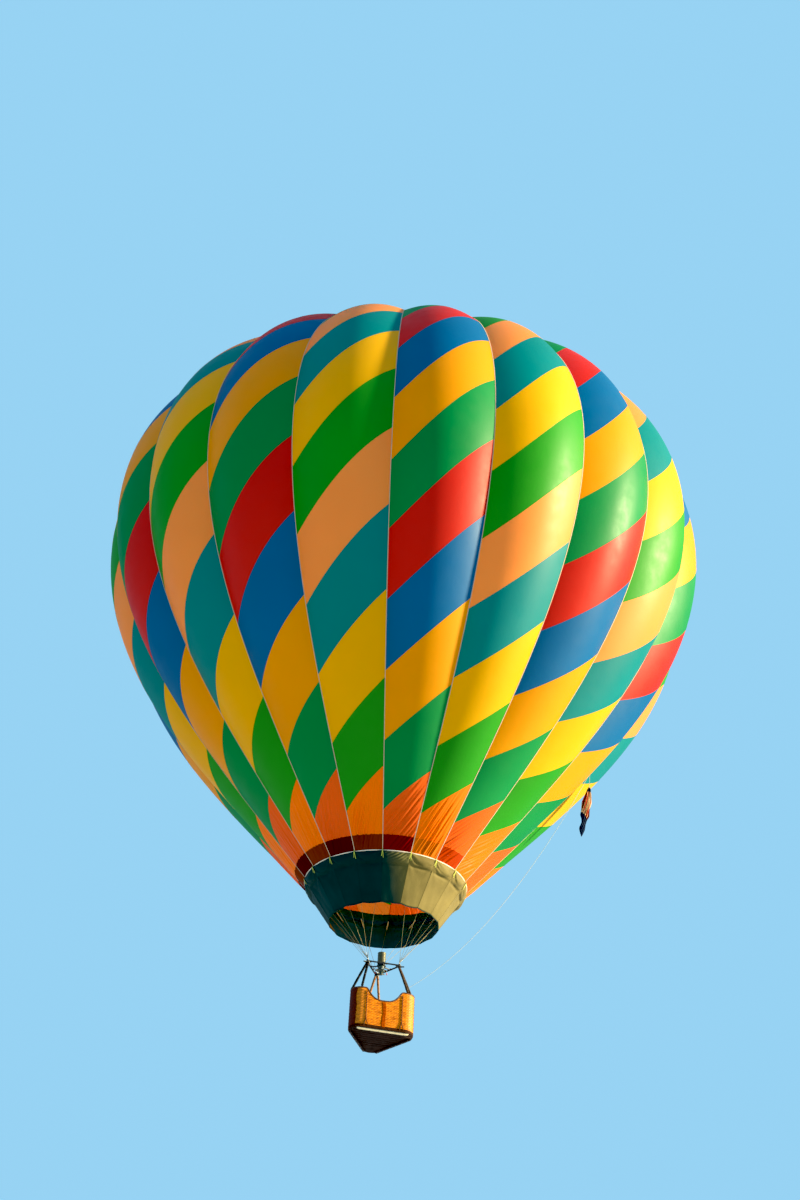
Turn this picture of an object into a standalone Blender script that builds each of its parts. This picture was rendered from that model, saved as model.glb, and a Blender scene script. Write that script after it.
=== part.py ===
"""Hot air balloon: a bulging envelope of 18 gores, a vent in its crown, a skirt, stays, a burner
and a three-sided wicker basket.

Metres, +Z up. The origin is on the axis at the envelope's widest level. Angles are measured from
the front (-Y) towards +X, so a point is (r sin a, -r cos a, z). One side of the basket faces the
front, and so does the middle of one gore.
"""
import math

import bmesh
import bpy
from mathutils import Matrix, Vector

# Clearance between two pieces that touch
GAP = 0.0003

# Envelope: the load tapes follow the natural shape of a balloon under its own hot air
GORES = 18
GORE_ANGLE = math.tau / GORES
SHELL = 0.010
MOUTH_R = 2.26
MOUTH_Z = -10.59
MOUTH_LEAN = math.radians(40)
NEUTRAL_RISE = 0.33
PRESSURE = 0.00173
PROFILE_STEP = 0.05
GORE_ROWS = 16
GORE_COLUMNS = 4
EDGE_BULGE = 0.05
MID_BULGE = 0.187
BULGE_POWER = 0.8
LEVEL_RIM = 3.0

# Crown: opening, edge band, web of tapes and the vent that closes it from below
VENT_EDGE_R = 2.40
BAND_WIDTH = 0.22
BAND_OVERHANG = 0.07
BAND_THICKNESS = 0.008
BAND_CLEARANCE = 0.0005
VENT_SEAT = 0.15
WEB_TAPE_WIDTH = 0.032
WEB_TAPE_THICKNESS = 0.005
WEB_TAPE_LIFT = 0.004
WEB_TAPE_OVERLAP = 0.30
CROWN_RING_R = 0.17
CROWN_RING_WALL = 0.05
CROWN_RING_HEIGHT = 0.024

# Mouth ring and skirt
MOUTH_RING_IN = 2.22
MOUTH_RING_OUT = 2.30
MOUTH_RING_HEIGHT = 0.030
SKIRT_TOP_R = 2.29
SKIRT_BOTTOM_R = 1.54
SKIRT_BOTTOM_Z = -11.77

# Load frame: a level triangle of tube with a corner over each corner of the basket. Frame and
# basket are turned a little to the right of the gores' middles
BASKET_TURN = math.radians(6)
CORNER_ANGLES = [BASKET_TURN + math.radians(turn) for turn in (60, 180, 300)]
FRAME_R = 0.52
FRAME_Z = -13.08
FRAME_TUBE_R = 0.022
FRAME_BEND_R = 0.05
FRAME_BEND_STEPS = 3
PLATE_R = 0.065
PLATE_LOW = -0.040
PLATE_HIGH = -0.012
SOCKET_R = 0.032
SOCKET_TOP = 0.045
LUG_START = 0.045
LUG_END = 0.140
LUG_WIDTH = 0.050
LUG_THICKNESS = 0.014
LUG_DROP = 0.010
LUG_HOLE_R = 0.010
LUG_HOLE_PLACE = 0.115

# Stays: six wires run from each frame corner to the mouth ring
STAY_R = 0.006
STAY_RING_R = 2.243
STAY_SPREAD = 6
SHACKLE_R = 0.028
SHACKLE_HEIGHT = 0.060

# Burner
BURNER_SIDES = 20
BURNER_BODY_R = 0.085
BURNER_BODY_LOW = -0.23
BURNER_BODY_HIGH = 0.10
COIL_R = 0.115
COIL_TURN_R = 0.016
COIL_TURNS = 8
COIL_CAN_TOP = 0.42
CLAMP_R = 0.125
CLAMP_HEIGHT = 0.022
ARM_REACH = 0.29
ARM_WIDTH = 0.036

# Basket: a triangle with round corners, a little wider at its foot, its sides scooped between
# the corners
BASKET_INRADIUS = 0.635
BASKET_CORNER_R = 0.29
BASKET_BOTTOM_Z = -15.21
BASKET_TOP_Z = -14.07
BASKET_TAPER = -0.010
BASKET_WALL = 0.030
SCOOP_DEPTH = 0.33
SCOOP_HALF_WIDTH = 0.50
SCOOP_POWER = 3
SIDE_STEPS = 8
CORNER_STEPS = 6
FLOOR_THICKNESS = 0.020
RIM_HEIGHT = 0.045
RIM_THICKNESS = 0.050
RIM_CHAMFER = 0.005
BAND_HEIGHT = 0.075
BASE_BAND_THICKNESS = 0.006
RUNNER_LENGTH = 1.44
RUNNER_WIDTH = 0.055
RUNNER_HEIGHT = 0.045
RUNNER_INRADIUS = 0.585

# Uprights: a padded pair from each frame corner to the basket's rim
UPRIGHT_R = 0.025
UPRIGHT_TOP_SPREAD = 0.032
UPRIGHT_FOOT_ANGLE = math.radians(50)

# Fuel cylinders, one in each corner of the basket
TANK_R = 0.145
TANK_HEIGHT = 0.80
TANK_SHOULDER = 0.07
TANK_WALL_CLEARANCE = 0.012
TANK_VALVE_R = 0.035
TANK_VALVE_HEIGHT = 0.07

# Furled flag and its slack line, both tied at one load tape
FLAG_TAPE_ANGLE = math.radians(90)
FLAG_ROW = 4
TOGGLE_R = 0.030
TOGGLE_SEAT = 1.045
FLAG_LEAD = 0.40
FLAG_LENGTH = 1.60
FLAG_R = 0.085
FLAG_CORD_R = 0.008
LINE_R = 0.006
LINE_SAG = 0.90
LINE_POINTS = 40
LINE_TIE_SHARE = 0.66


def polar(angle, r, z):
    """Point at an angle from the front, a radius and a height."""
    return Vector((r * math.sin(angle), -r * math.cos(angle), z))


def clear_scene():
    for old in list(bpy.data.objects):
        bpy.data.objects.remove(old)


def make_material(name, colour, roughness, metallic=0.0):
    material = bpy.data.materials.new(name)
    material.use_nodes = True
    shader = material.node_tree.nodes["Principled BSDF"]
    shader.inputs["Base Color"].default_value = (*colour, 1.0)
    shader.inputs["Roughness"].default_value = roughness
    shader.inputs["Metallic"].default_value = metallic
    return material


def add_mesh_object(name, bm, material, smooth_angle=None):
    """Turn a bmesh into an object of the balloon's collection, its faces pointing out."""
    bmesh.ops.recalc_face_normals(bm, faces=bm.faces)
    mesh = bpy.data.meshes.new(name)
    bm.to_mesh(mesh)
    bm.free()
    if smooth_angle is not None:
        mesh.shade_smooth()
        mesh.set_sharp_from_angle(angle=math.radians(smooth_angle))
    mesh.materials.append(material)
    obj = bpy.data.objects.new(name, mesh)
    bpy.data.collections["hot_air_balloon"].objects.link(obj)
    return obj


def add_solidify(obj, thickness):
    """Thicken an open surface inwards, away from its normals."""
    solid = obj.modifiers.new("Thickness", "SOLIDIFY")
    solid.thickness = thickness
    solid.offset = -1
    return solid


def turned(name, profile, sides, material, smooth_angle=None, location=(0, 0, 0)):
    """Turned shape: a profile of (r, z) points, down its outer side, swept round Z."""
    bm = bmesh.new()
    points = [bm.verts.new((r, 0, z)) for r, z in profile]
    closed = profile[0][0] > 0 and profile[-1][0] > 0
    for i in range(len(points) - (0 if closed else 1)):
        bm.edges.new((points[i], points[(i + 1) % len(points)]))
    mesh = bpy.data.meshes.new(name)
    bm.to_mesh(mesh)
    bm.free()
    mesh.materials.append(material)
    obj = bpy.data.objects.new(name, mesh)
    obj.location = location
    bpy.data.collections["hot_air_balloon"].objects.link(obj)
    screw = obj.modifiers.new("Turn", "SCREW")
    screw.steps = sides
    screw.render_steps = sides
    screw.use_merge_vertices = True
    screw.merge_threshold = 0.0001
    screw.use_smooth_shade = smooth_angle is not None
    return obj


def closed_loft(name, sections, material, smooth_angle=None):
    """Ring lofted through closed sections that all have the same number of points."""
    bm = bmesh.new()
    rows = [[bm.verts.new(p) for p in section] for section in sections]
    for i, row in enumerate(rows):
        following = rows[(i + 1) % len(rows)]
        for j in range(len(row)):
            k = (j + 1) % len(row)
            bm.faces.new((row[j], row[k], following[k], following[j]))
    return add_mesh_object(name, bm, material, smooth_angle)


def tube(name, points, radius, material, cyclic=False, resolution=2):
    """Tube along a line of points, with filled ends unless it closes on itself."""
    curve = bpy.data.curves.new(name, "CURVE")
    curve.dimensions = "3D"
    curve.bevel_depth = radius
    curve.bevel_resolution = resolution
    curve.use_fill_caps = True
    spline = curve.splines.new("POLY")
    spline.points.add(len(points) - 1)
    for point, place in zip(spline.points, points):
        point.co = (*place, 1.0)
    spline.use_cyclic_u = cyclic
    curve.materials.append(material)
    obj = bpy.data.objects.new(name, curve)
    bpy.data.collections["hot_air_balloon"].objects.link(obj)
    return obj


def as_mesh(obj):
    """Replace a curve object by a mesh object of the same name, its caps welded."""
    name = obj.name
    depsgraph = bpy.context.evaluated_depsgraph_get()
    mesh = bpy.data.meshes.new_from_object(obj.evaluated_get(depsgraph))
    material = obj.data.materials[0]
    matrix = obj.matrix_world.copy()
    bpy.data.objects.remove(obj)
    bm = bmesh.new()
    bm.from_mesh(mesh)
    bmesh.ops.remove_doubles(bm, verts=bm.verts, dist=0.00005)
    result = add_mesh_object(name, bm, material)
    result.matrix_world = matrix
    return result


def combine(target, others, operation):
    """Boolean union or difference of mesh objects with the first, which keeps its name."""
    cutters = bpy.data.collections["cutters"]
    for other in others:
        bpy.data.collections["hot_air_balloon"].objects.unlink(other)
        cutters.objects.link(other)
        other.name = operation.lower() + "_with_" + target.name
        other.hide_render = True
        other.display_type = "WIRE"
        boolean = target.modifiers.new(operation.title(), "BOOLEAN")
        boolean.operation = operation
        boolean.object = other
    return target


def join_bodies(target, others):
    return combine(target, others, "UNION")


def cylinder(name, r, low, high, centre, material, sides=16):
    """Upright cylinder from low to high over a centre point."""
    bm = bmesh.new()
    bmesh.ops.create_cone(bm, cap_ends=True, segments=sides, radius1=r, radius2=r, depth=high - low)
    bmesh.ops.translate(bm, verts=bm.verts, vec=(centre[0], centre[1], (low + high) / 2))
    return add_mesh_object(name, bm, material, 40)


def box(name, size, centre, turn, material):
    """Box turned about Z, its length along X before the turn."""
    bm = bmesh.new()
    bmesh.ops.create_cube(bm, size=1.0)
    bmesh.ops.scale(bm, verts=bm.verts, vec=size)
    bmesh.ops.rotate(bm, verts=bm.verts, matrix=Matrix.Rotation(turn, 3, "Z"))
    bmesh.ops.translate(bm, verts=bm.verts, vec=centre)
    return add_mesh_object(name, bm, material)


# Envelope

def tape_profile():
    """Load tape from the mouth to the crown opening as (r, z, lean) a step apart.

    The lean is the angle from the vertical. The tape bends in proportion to its radius and to
    its height above the level where the inside pressure is neutral.
    """
    neutral_z = MOUTH_Z + NEUTRAL_RISE
    r, z, lean = MOUTH_R, MOUTH_Z, MOUTH_LEAN
    points = [(r, z, lean)]
    while r > VENT_EDGE_R or z < 0:
        half = PROFILE_STEP / 2
        mid_r = r + math.sin(lean) * half
        mid_z = z + math.cos(lean) * half
        mid_lean = lean - PRESSURE * r * (z - neutral_z) * half
        r += math.sin(mid_lean) * PROFILE_STEP
        z += math.cos(mid_lean) * PROFILE_STEP
        lean -= PRESSURE * mid_r * (mid_z - neutral_z) * PROFILE_STEP
        points.append((r, z, lean))
    return points


def profile_at(profile, share):
    """Radius, height and lean at a share of the tape's length from the mouth."""
    place = share * (len(profile) - 1)
    i = min(int(place), len(profile) - 2)
    f = place - i
    return [a + (b - a) * f for a, b in zip(profile[i], profile[i + 1])]


def gore_row(profile, share, left_angle):
    """Points across one gore at one level, from its left tape to its right tape."""
    r, z, lean = profile_at(profile, share)
    left = polar(left_angle, r, z)
    right = polar(left_angle + GORE_ANGLE, r, z)
    across = (right - left).normalized()
    left += across * GAP / 2
    right -= across * GAP / 2
    out = polar(left_angle + GORE_ANGLE / 2, 1, 0)
    level = min(1.0, share * (len(profile) - 1) * PROFILE_STEP / LEVEL_RIM)
    normal = (out * math.cos(lean) + Vector((0, 0, -math.sin(lean) * level))).normalized()
    swell = max(0.0, math.sin(math.pi * share)) ** BULGE_POWER
    depth = (EDGE_BULGE + (MID_BULGE - EDGE_BULGE) * swell) * (right - left).length
    row = []
    for j in range(GORE_COLUMNS + 1):
        u = j / GORE_COLUMNS
        row.append(left.lerp(right, u) + normal * (depth * 4 * u * (1 - u)))
    return row


def make_gore(number, profile, material):
    """One gore: a strip of fabric that bulges between two load tapes."""
    left_angle = GORE_ANGLE * (number - 0.5)
    bm = bmesh.new()
    rows = []
    for i in range(GORE_ROWS + 1):
        row = gore_row(profile, i / GORE_ROWS, left_angle)
        rows.append([bm.verts.new(p) for p in row])
    for low, high in zip(rows, rows[1:]):
        for j in range(GORE_COLUMNS):
            bm.faces.new((low[j], low[j + 1], high[j + 1], high[j]))
    gore = add_mesh_object("gore_%02d" % (number + 1), bm, material, 60)
    for face in gore.data.polygons:
        if face.normal.dot(face.center) < 0:
            gore.data.flip_normals()
            break
    add_solidify(gore, SHELL)
    return gore


def crown_point(profile, from_edge, depth):
    """Point (r, z) beside the crown opening's edge.

    from_edge runs along the gores' last row, positive towards the axis, and depth goes down into
    the envelope, square to that row.
    """
    edge = Vector(profile[-1][:2])
    along = (edge - Vector(profile_at(profile, 1 - 1 / GORE_ROWS)[:2])).normalized()
    inwards = Vector((-along.y, along.x))
    place = edge + along * from_edge + inwards * depth
    return place.x, place.y


def dome_point(profile, share, depth):
    """Point (r, z) on the shallow dome over the crown opening, from its edge (0) to the axis (1)."""
    r, z, lean = profile[-1]
    dome_radius = r / math.cos(lean)
    angle = math.asin(r / dome_radius) * (1 - share)
    centre_z = z - dome_radius * math.cos(math.asin(r / dome_radius))
    reach = dome_radius - depth
    return reach * math.sin(angle), centre_z + reach * math.cos(angle)


def make_crown_band(profile, material):
    """Flat band under the gores' upper edge, which the vent seats against."""
    top = SHELL + BAND_CLEARANCE
    bottom = top + BAND_THICKNESS
    outer = BAND_OVERHANG - BAND_WIDTH
    section = [
        crown_point(profile, outer, top),
        crown_point(profile, outer, bottom),
        crown_point(profile, BAND_OVERHANG, bottom),
        crown_point(profile, BAND_OVERHANG, top),
    ]
    return turned("crown_band", section, GORES, material)


def make_vent(profile, material):
    """Vent panel: a shallow dome that seats under the crown band and slides down to open."""
    top = SHELL + BAND_CLEARANCE + BAND_THICKNESS + GAP
    rim = BAND_OVERHANG - VENT_SEAT
    shares = (0.0, 0.25, 0.5, 0.75, 1.0)
    lower = [dome_point(profile, s, top + SHELL) for s in shares]
    upper = [dome_point(profile, s, top) for s in shares]
    edge_low = crown_point(profile, rim, top + SHELL)
    edge_high = crown_point(profile, rim, top)
    outline = [(0.0, upper[-1][1])] + upper[-2::-1] + [edge_high, edge_low] + lower[:-1]
    outline.append((0.0, lower[-1][1]))
    return turned("vent_panel", outline, GORES, material, 60)


def make_crown_web(profile, material):
    """Web of load tapes over the crown opening, gathered on the crown ring."""
    _, _, lean = profile[-1]
    low = -WEB_TAPE_LIFT
    high = low - WEB_TAPE_THICKNESS
    shares = (0.0, 0.25, 0.5, 0.75, 0.93)
    path = [(crown_point(profile, -WEB_TAPE_OVERLAP, low), crown_point(profile, -WEB_TAPE_OVERLAP, high))]
    path += [(dome_point(profile, s, low), dome_point(profile, s, high)) for s in shares]
    hub_z = dome_point(profile, 1.0, low)[1]
    inner = CROWN_RING_R - CROWN_RING_WALL
    section = [
        (CROWN_RING_R, hub_z + CROWN_RING_HEIGHT),
        (CROWN_RING_R, hub_z - CROWN_RING_HEIGHT / 2),
        (inner, hub_z - CROWN_RING_HEIGHT / 2),
        (inner, hub_z + CROWN_RING_HEIGHT),
    ]
    ring = turned("crown_web", section, 2 * GORES, material)
    tapes = []
    for k in range(GORES):
        angle = GORE_ANGLE * (k + 0.5)
        side = polar(angle + math.pi / 2, WEB_TAPE_WIDTH / 2, 0)
        bm = bmesh.new()
        rows = []
        for under, over in path:
            a = polar(angle, *under)
            b = polar(angle, *over)
            rows.append([bm.verts.new(p) for p in (a - side, a + side, b + side, b - side)])
        for near, far in zip(rows, rows[1:]):
            for j in range(4):
                bm.faces.new((near[j], near[(j + 1) % 4], far[(j + 1) % 4], far[j]))
        bm.faces.new(rows[0])
        bm.faces.new(rows[-1])
        tapes.append(add_mesh_object("web_tape_%02d" % (k + 1), bm, material))
    return join_bodies(ring, tapes)


# Mouth, skirt, stays and load frame

def make_mouth_ring(material):
    top = MOUTH_Z - GAP
    bottom = top - MOUTH_RING_HEIGHT
    section = [
        (MOUTH_RING_OUT, top),
        (MOUTH_RING_OUT, bottom),
        (MOUTH_RING_IN, bottom),
        (MOUTH_RING_IN, top),
    ]
    return turned("mouth_ring", section, GORES, material)


def make_skirt(material):
    """Skirt: a cone of fabric with a flat panel under each gore."""
    top = MOUTH_Z - MOUTH_RING_HEIGHT - 2 * GAP
    section = [
        (SKIRT_TOP_R, top),
        (SKIRT_BOTTOM_R, SKIRT_BOTTOM_Z),
        (SKIRT_BOTTOM_R - SHELL, SKIRT_BOTTOM_Z),
        (SKIRT_TOP_R - SHELL, top),
    ]
    return turned("skirt", section, GORES, material)


def make_stays(number, corner_angle, material):
    """Six wires from one frame corner to its six load tapes, joined at a shackle."""
    foot = polar(corner_angle, FRAME_R, FRAME_Z + SOCKET_TOP + GAP)
    shackle = cylinder(
        "stays_%d" % number, SHACKLE_R, foot.z, foot.z + SHACKLE_HEIGHT, foot, material, 12)
    start = foot + Vector((0, 0, SHACKLE_HEIGHT * 0.6))
    ring_z = MOUTH_Z - MOUTH_RING_HEIGHT - 2 * GAP
    wires = []
    for k in range(STAY_SPREAD):
        angle = corner_angle - BASKET_TURN + GORE_ANGLE * (k - (STAY_SPREAD - 1) / 2)
        end = polar(angle, STAY_RING_R, ring_z)
        slope = (end - start).normalized()
        end.z -= STAY_R * math.sqrt(1 - slope.z ** 2)
        wires.append(as_mesh(tube("stay_wire_%d" % k, [start, end], STAY_R, material)))
    return join_bodies(shackle, wires)


def rounded_triangle(corner_r, bend_r, z, steps):
    """Closed line round the frame's three corners, each bent to an arc."""
    points = []
    centre_r = corner_r - 2 * bend_r
    for angle in CORNER_ANGLES:
        centre = polar(angle, centre_r, z)
        for i in range(steps + 1):
            turn = angle + math.radians(-60 + 120 * i / steps)
            points.append(centre + polar(turn, bend_r, 0))
    return points


def make_load_frame(material):
    """Triangle of tube with a plate, a socket and a tether lug at each corner."""
    outline = rounded_triangle(FRAME_R + FRAME_BEND_R, FRAME_BEND_R, FRAME_Z, FRAME_BEND_STEPS)
    frame = as_mesh(tube("load_frame", outline, FRAME_TUBE_R, material, cyclic=True))
    parts = []
    holes = []
    for i, angle in enumerate(CORNER_ANGLES):
        corner = polar(angle, FRAME_R, 0)
        low = FRAME_Z + PLATE_LOW
        high = FRAME_Z + PLATE_HIGH
        parts.append(cylinder("corner_plate_%d" % i, PLATE_R, low, high, corner, material))
        top = FRAME_Z + SOCKET_TOP
        overlap = (low + high) / 2
        parts.append(cylinder("corner_socket_%d" % i, SOCKET_R, overlap, top, corner, material, 12))
        lug_low = low - LUG_DROP
        lug_high = lug_low + LUG_THICKNESS
        middle = polar(angle, FRAME_R + (LUG_START + LUG_END) / 2, (lug_low + lug_high) / 2)
        size = (LUG_END - LUG_START, LUG_WIDTH, LUG_THICKNESS)
        parts.append(box("tether_lug_%d" % i, size, middle, angle - math.pi / 2, material))
        hole = polar(angle, FRAME_R + LUG_HOLE_PLACE, 0)
        above = lug_high + LUG_DROP
        below = lug_low - LUG_DROP
        holes.append(cylinder("lug_hole_%d" % i, LUG_HOLE_R, below, above, hole, material, 12))
    return combine(join_bodies(frame, parts), holes, "DIFFERENCE")


# Burner

def make_burner_mount(material):
    """Clamp ring round the burner with three arms that rest on the frame's tubes."""
    low = FRAME_Z + FRAME_TUBE_R + GAP
    high = low + CLAMP_HEIGHT
    section = [
        (CLAMP_R, high),
        (CLAMP_R, low),
        (BURNER_BODY_R + GAP, low),
        (BURNER_BODY_R + GAP, high),
    ]
    ring = turned("burner_mount", section, BURNER_SIDES, material)
    start = (BURNER_BODY_R + CLAMP_R) / 2
    arms = []
    for i, angle in enumerate(CORNER_ANGLES):
        middle = polar(angle + math.pi, (start + ARM_REACH) / 2, (low + high) / 2)
        turn = angle + math.pi / 2
        size = (ARM_REACH - start, ARM_WIDTH, high - low)
        arms.append(box("burner_arm_%d" % i, size, middle, turn, material))
    return join_bodies(ring, arms)


def make_burner_body(material):
    low = FRAME_Z + BURNER_BODY_LOW
    high = FRAME_Z + BURNER_BODY_HIGH
    profile = [
        (0.0, high),
        (BURNER_BODY_R * 0.8, high),
        (BURNER_BODY_R, high - 0.02),
        (BURNER_BODY_R, low + 0.10),
        (BURNER_BODY_R * 0.55, low + 0.06),
        (BURNER_BODY_R * 0.55, low),
        (0.0, low),
    ]
    return turned("burner_body", profile, BURNER_SIDES, material, 40)


def make_burner_coil(material):
    """Vaporiser coil: stacked turns in the outline of a can, open at the top."""
    low = FRAME_Z + BURNER_BODY_HIGH + GAP
    high = FRAME_Z + COIL_CAN_TOP
    pitch = (high - low) / COIL_TURNS
    inner = COIL_R - 2 * COIL_TURN_R
    outline = [(0.0, low + COIL_TURN_R), (inner, low + COIL_TURN_R), (inner, high)]
    outline.append((COIL_R - COIL_TURN_R / 2, high))
    for i in range(COIL_TURNS):
        turn_top = high - i * pitch
        outline.append((COIL_R, turn_top - pitch * 0.25))
        outline.append((COIL_R, turn_top - pitch * 0.75))
        outline.append((COIL_R - COIL_TURN_R / 2, turn_top - pitch))
    outline.append((0.0, low))
    return turned("burner_coil", outline, BURNER_SIDES, material)


# Basket

def basket_columns():
    """Plan of the basket as columns of (middle of the arc or side, outward normal, rim drop).

    Going round, each column is a point of the plan at its full size with the normal there and
    how far the rim lies below the corners.
    """
    core = BASKET_INRADIUS - BASKET_CORNER_R
    columns = []
    for angle in CORNER_ANGLES:
        centre = polar(angle, 2 * core, 0)
        for i in range(CORNER_STEPS + 1):
            turn = angle + math.radians(-60 + 120 * i / CORNER_STEPS)
            columns.append((centre, polar(turn, 1, 0), 0.0))
        side_normal = polar(angle + math.radians(60), 1, 0)
        along = polar(angle + math.radians(150), 1, 0)
        middle = side_normal * core
        for i in range(SIDE_STEPS + 1):
            offset = SCOOP_HALF_WIDTH * (2 * i / SIDE_STEPS - 1)
            drop = SCOOP_DEPTH * (1 - abs(offset / SCOOP_HALF_WIDTH) ** SCOOP_POWER)
            columns.append((middle + along * offset, side_normal, drop))
    return columns


def plan_point(column, offset, z):
    """Point of the basket's plan, moved out from its full size by an offset."""
    core, normal, _ = column
    place = core + normal * (BASKET_CORNER_R + offset)
    return Vector((place.x, place.y, z))


def wall_offset(z):
    """How far the tapering wall stands inside its full size at a height."""
    return -BASKET_TAPER * (BASKET_TOP_Z - z) / (BASKET_TOP_Z - BASKET_BOTTOM_Z)


def make_basket_wall(columns, material):
    sections = []
    for column in columns:
        top = BASKET_TOP_Z - column[2]
        section = []
        for z, inset in ((BASKET_BOTTOM_Z, 0), (top, 0), (top, BASKET_WALL), (BASKET_BOTTOM_Z, BASKET_WALL)):
            section.append(plan_point(column, wall_offset(z) - inset, z))
        sections.append(section)
    return closed_loft("basket_wall", sections, material, 50)


def make_rim(columns, material):
    """Padded roll along the top of the wall."""
    sections = []
    overhang = (RIM_THICKNESS - BASKET_WALL) / 2
    for column in columns:
        low = BASKET_TOP_Z - column[2] + GAP
        out = wall_offset(low) + overhang
        inner = out - RIM_THICKNESS
        high = low + RIM_HEIGHT
        sections.append([
            plan_point(column, out, low),
            plan_point(column, out, high - RIM_CHAMFER),
            plan_point(column, out - RIM_CHAMFER, high),
            plan_point(column, inner + RIM_CHAMFER, high),
            plan_point(column, inner, high - RIM_CHAMFER),
            plan_point(column, inner, low),
        ])
    return closed_loft("basket_rim", sections, material, 60)


def make_base_band(columns, material):
    """Hide band round the foot of the wall."""
    sections = []
    for column in columns:
        section = []
        for z, inset in ((0, 0), (BAND_HEIGHT, 0), (BAND_HEIGHT, BASE_BAND_THICKNESS), (0, BASE_BAND_THICKNESS)):
            height = BASKET_BOTTOM_Z + z
            out = wall_offset(height) + 2 * GAP + BASE_BAND_THICKNESS - inset
            section.append(plan_point(column, out, height))
        sections.append(section)
    return closed_loft("basket_base_band", sections, material, 60)


def make_floor(columns, material):
    """Floor board under the wall."""
    bm = bmesh.new()
    high = BASKET_BOTTOM_Z - GAP
    rows = []
    for z in (high - FLOOR_THICKNESS, high):
        ring = [bm.verts.new(plan_point(c, wall_offset(BASKET_BOTTOM_Z), z)) for c in columns]
        bm.faces.new(ring)
        rows.append(ring)
    for i in range(len(columns)):
        k = (i + 1) % len(columns)
        bm.faces.new((rows[0][i], rows[0][k], rows[1][k], rows[1][i]))
    return add_mesh_object("basket_floor", bm, material)


def make_runner(number, side_angle, material):
    """Wooden runner under the floor, along one side."""
    high = BASKET_BOTTOM_Z - FLOOR_THICKNESS - 2 * GAP
    centre = polar(side_angle, RUNNER_INRADIUS, high - RUNNER_HEIGHT / 2)
    size = (RUNNER_LENGTH, RUNNER_WIDTH, RUNNER_HEIGHT)
    return box("basket_runner_%d" % number, size, centre, side_angle, material)


def upright_ends(corner_angle, side):
    """Top and foot of one upright's centre line, side -1 or 1 of its corner."""
    beside = polar(corner_angle + math.pi / 2, 1, 0)
    top = polar(corner_angle, FRAME_R, FRAME_Z + PLATE_LOW) + beside * (side * UPRIGHT_TOP_SPREAD)
    core = polar(corner_angle, 2 * (BASKET_INRADIUS - BASKET_CORNER_R), 0)
    reach = BASKET_CORNER_R - BASKET_WALL / 2
    foot = core + polar(corner_angle + side * UPRIGHT_FOOT_ANGLE, reach, 0)
    foot.z = BASKET_TOP_Z + RIM_HEIGHT + GAP
    slope = (top - foot).normalized()
    lift = UPRIGHT_R * math.sqrt(1 - slope.z ** 2) + GAP
    return top - Vector((0, 0, lift)), foot + Vector((0, 0, lift))


def make_upright(number, corner_angle, side, material):
    ends = upright_ends(corner_angle, side)
    return tube("upright_%d" % number, ends, UPRIGHT_R, material, resolution=3)


def make_tank(number, corner_angle, material):
    """Fuel cylinder with a round shoulder and a valve, standing on the floor in a corner."""
    floor_z = BASKET_BOTTOM_Z
    inner_reach = BASKET_CORNER_R - BASKET_TAPER - BASKET_WALL - TANK_WALL_CLEARANCE
    centre_r = 2 * (BASKET_INRADIUS - BASKET_CORNER_R) + inner_reach - TANK_R
    top = floor_z + TANK_HEIGHT
    shoulder = top - TANK_SHOULDER
    profile = [
        (0.0, top + TANK_VALVE_HEIGHT),
        (TANK_VALVE_R, top + TANK_VALVE_HEIGHT),
        (TANK_VALVE_R, top),
        (TANK_R * 0.75, top - TANK_SHOULDER * 0.25),
        (TANK_R, shoulder),
        (TANK_R, floor_z + TANK_SHOULDER * 0.4),
        (TANK_R * 0.9, floor_z),
        (0.0, floor_z),
    ]
    place = polar(corner_angle, centre_r, 0)
    return turned("fuel_cylinder_%d" % number, profile, 18, material, 50, place)


# Flag and line

def flag_anchor(profile):
    """Centre of the toggle that sits in the valley of the load tape at the flag."""
    r, z, lean = profile_at(profile, FLAG_ROW / GORE_ROWS)
    out = TOGGLE_R * TOGGLE_SEAT
    return polar(FLAG_TAPE_ANGLE, r + math.cos(lean) * out, z - math.sin(lean) * out)


def make_toggle(profile, material):
    bm = bmesh.new()
    bmesh.ops.create_uvsphere(bm, u_segments=16, v_segments=12, radius=TOGGLE_R)
    bmesh.ops.translate(bm, verts=bm.verts, vec=flag_anchor(profile))
    return add_mesh_object("flag_toggle", bm, material, 60)


def make_flag(profile, material):
    """Furled flag: a slim pleated roll that hangs from the toggle by its halyard."""
    anchor = flag_anchor(profile)
    top = -TOGGLE_R - GAP
    shoulder = top - FLAG_LEAD
    outline = [
        (0.0, top),
        (FLAG_CORD_R, top),
        (FLAG_CORD_R, shoulder),
        (FLAG_R * 0.5, shoulder - FLAG_LENGTH * 0.05),
        (FLAG_R, shoulder - FLAG_LENGTH * 0.30),
        (FLAG_R * 0.8, shoulder - FLAG_LENGTH * 0.65),
        (FLAG_R * 0.5, shoulder - FLAG_LENGTH * 0.97),
        (0.0, shoulder - FLAG_LENGTH),
    ]
    return turned("flag", outline, 10, material, 60, anchor)


def line_point(start, end, t):
    """Point along the slack line, which hangs below the straight way between its ends."""
    place = start.lerp(end, t)
    place.z -= LINE_SAG * 4 * t * (1 - t)
    return place


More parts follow.
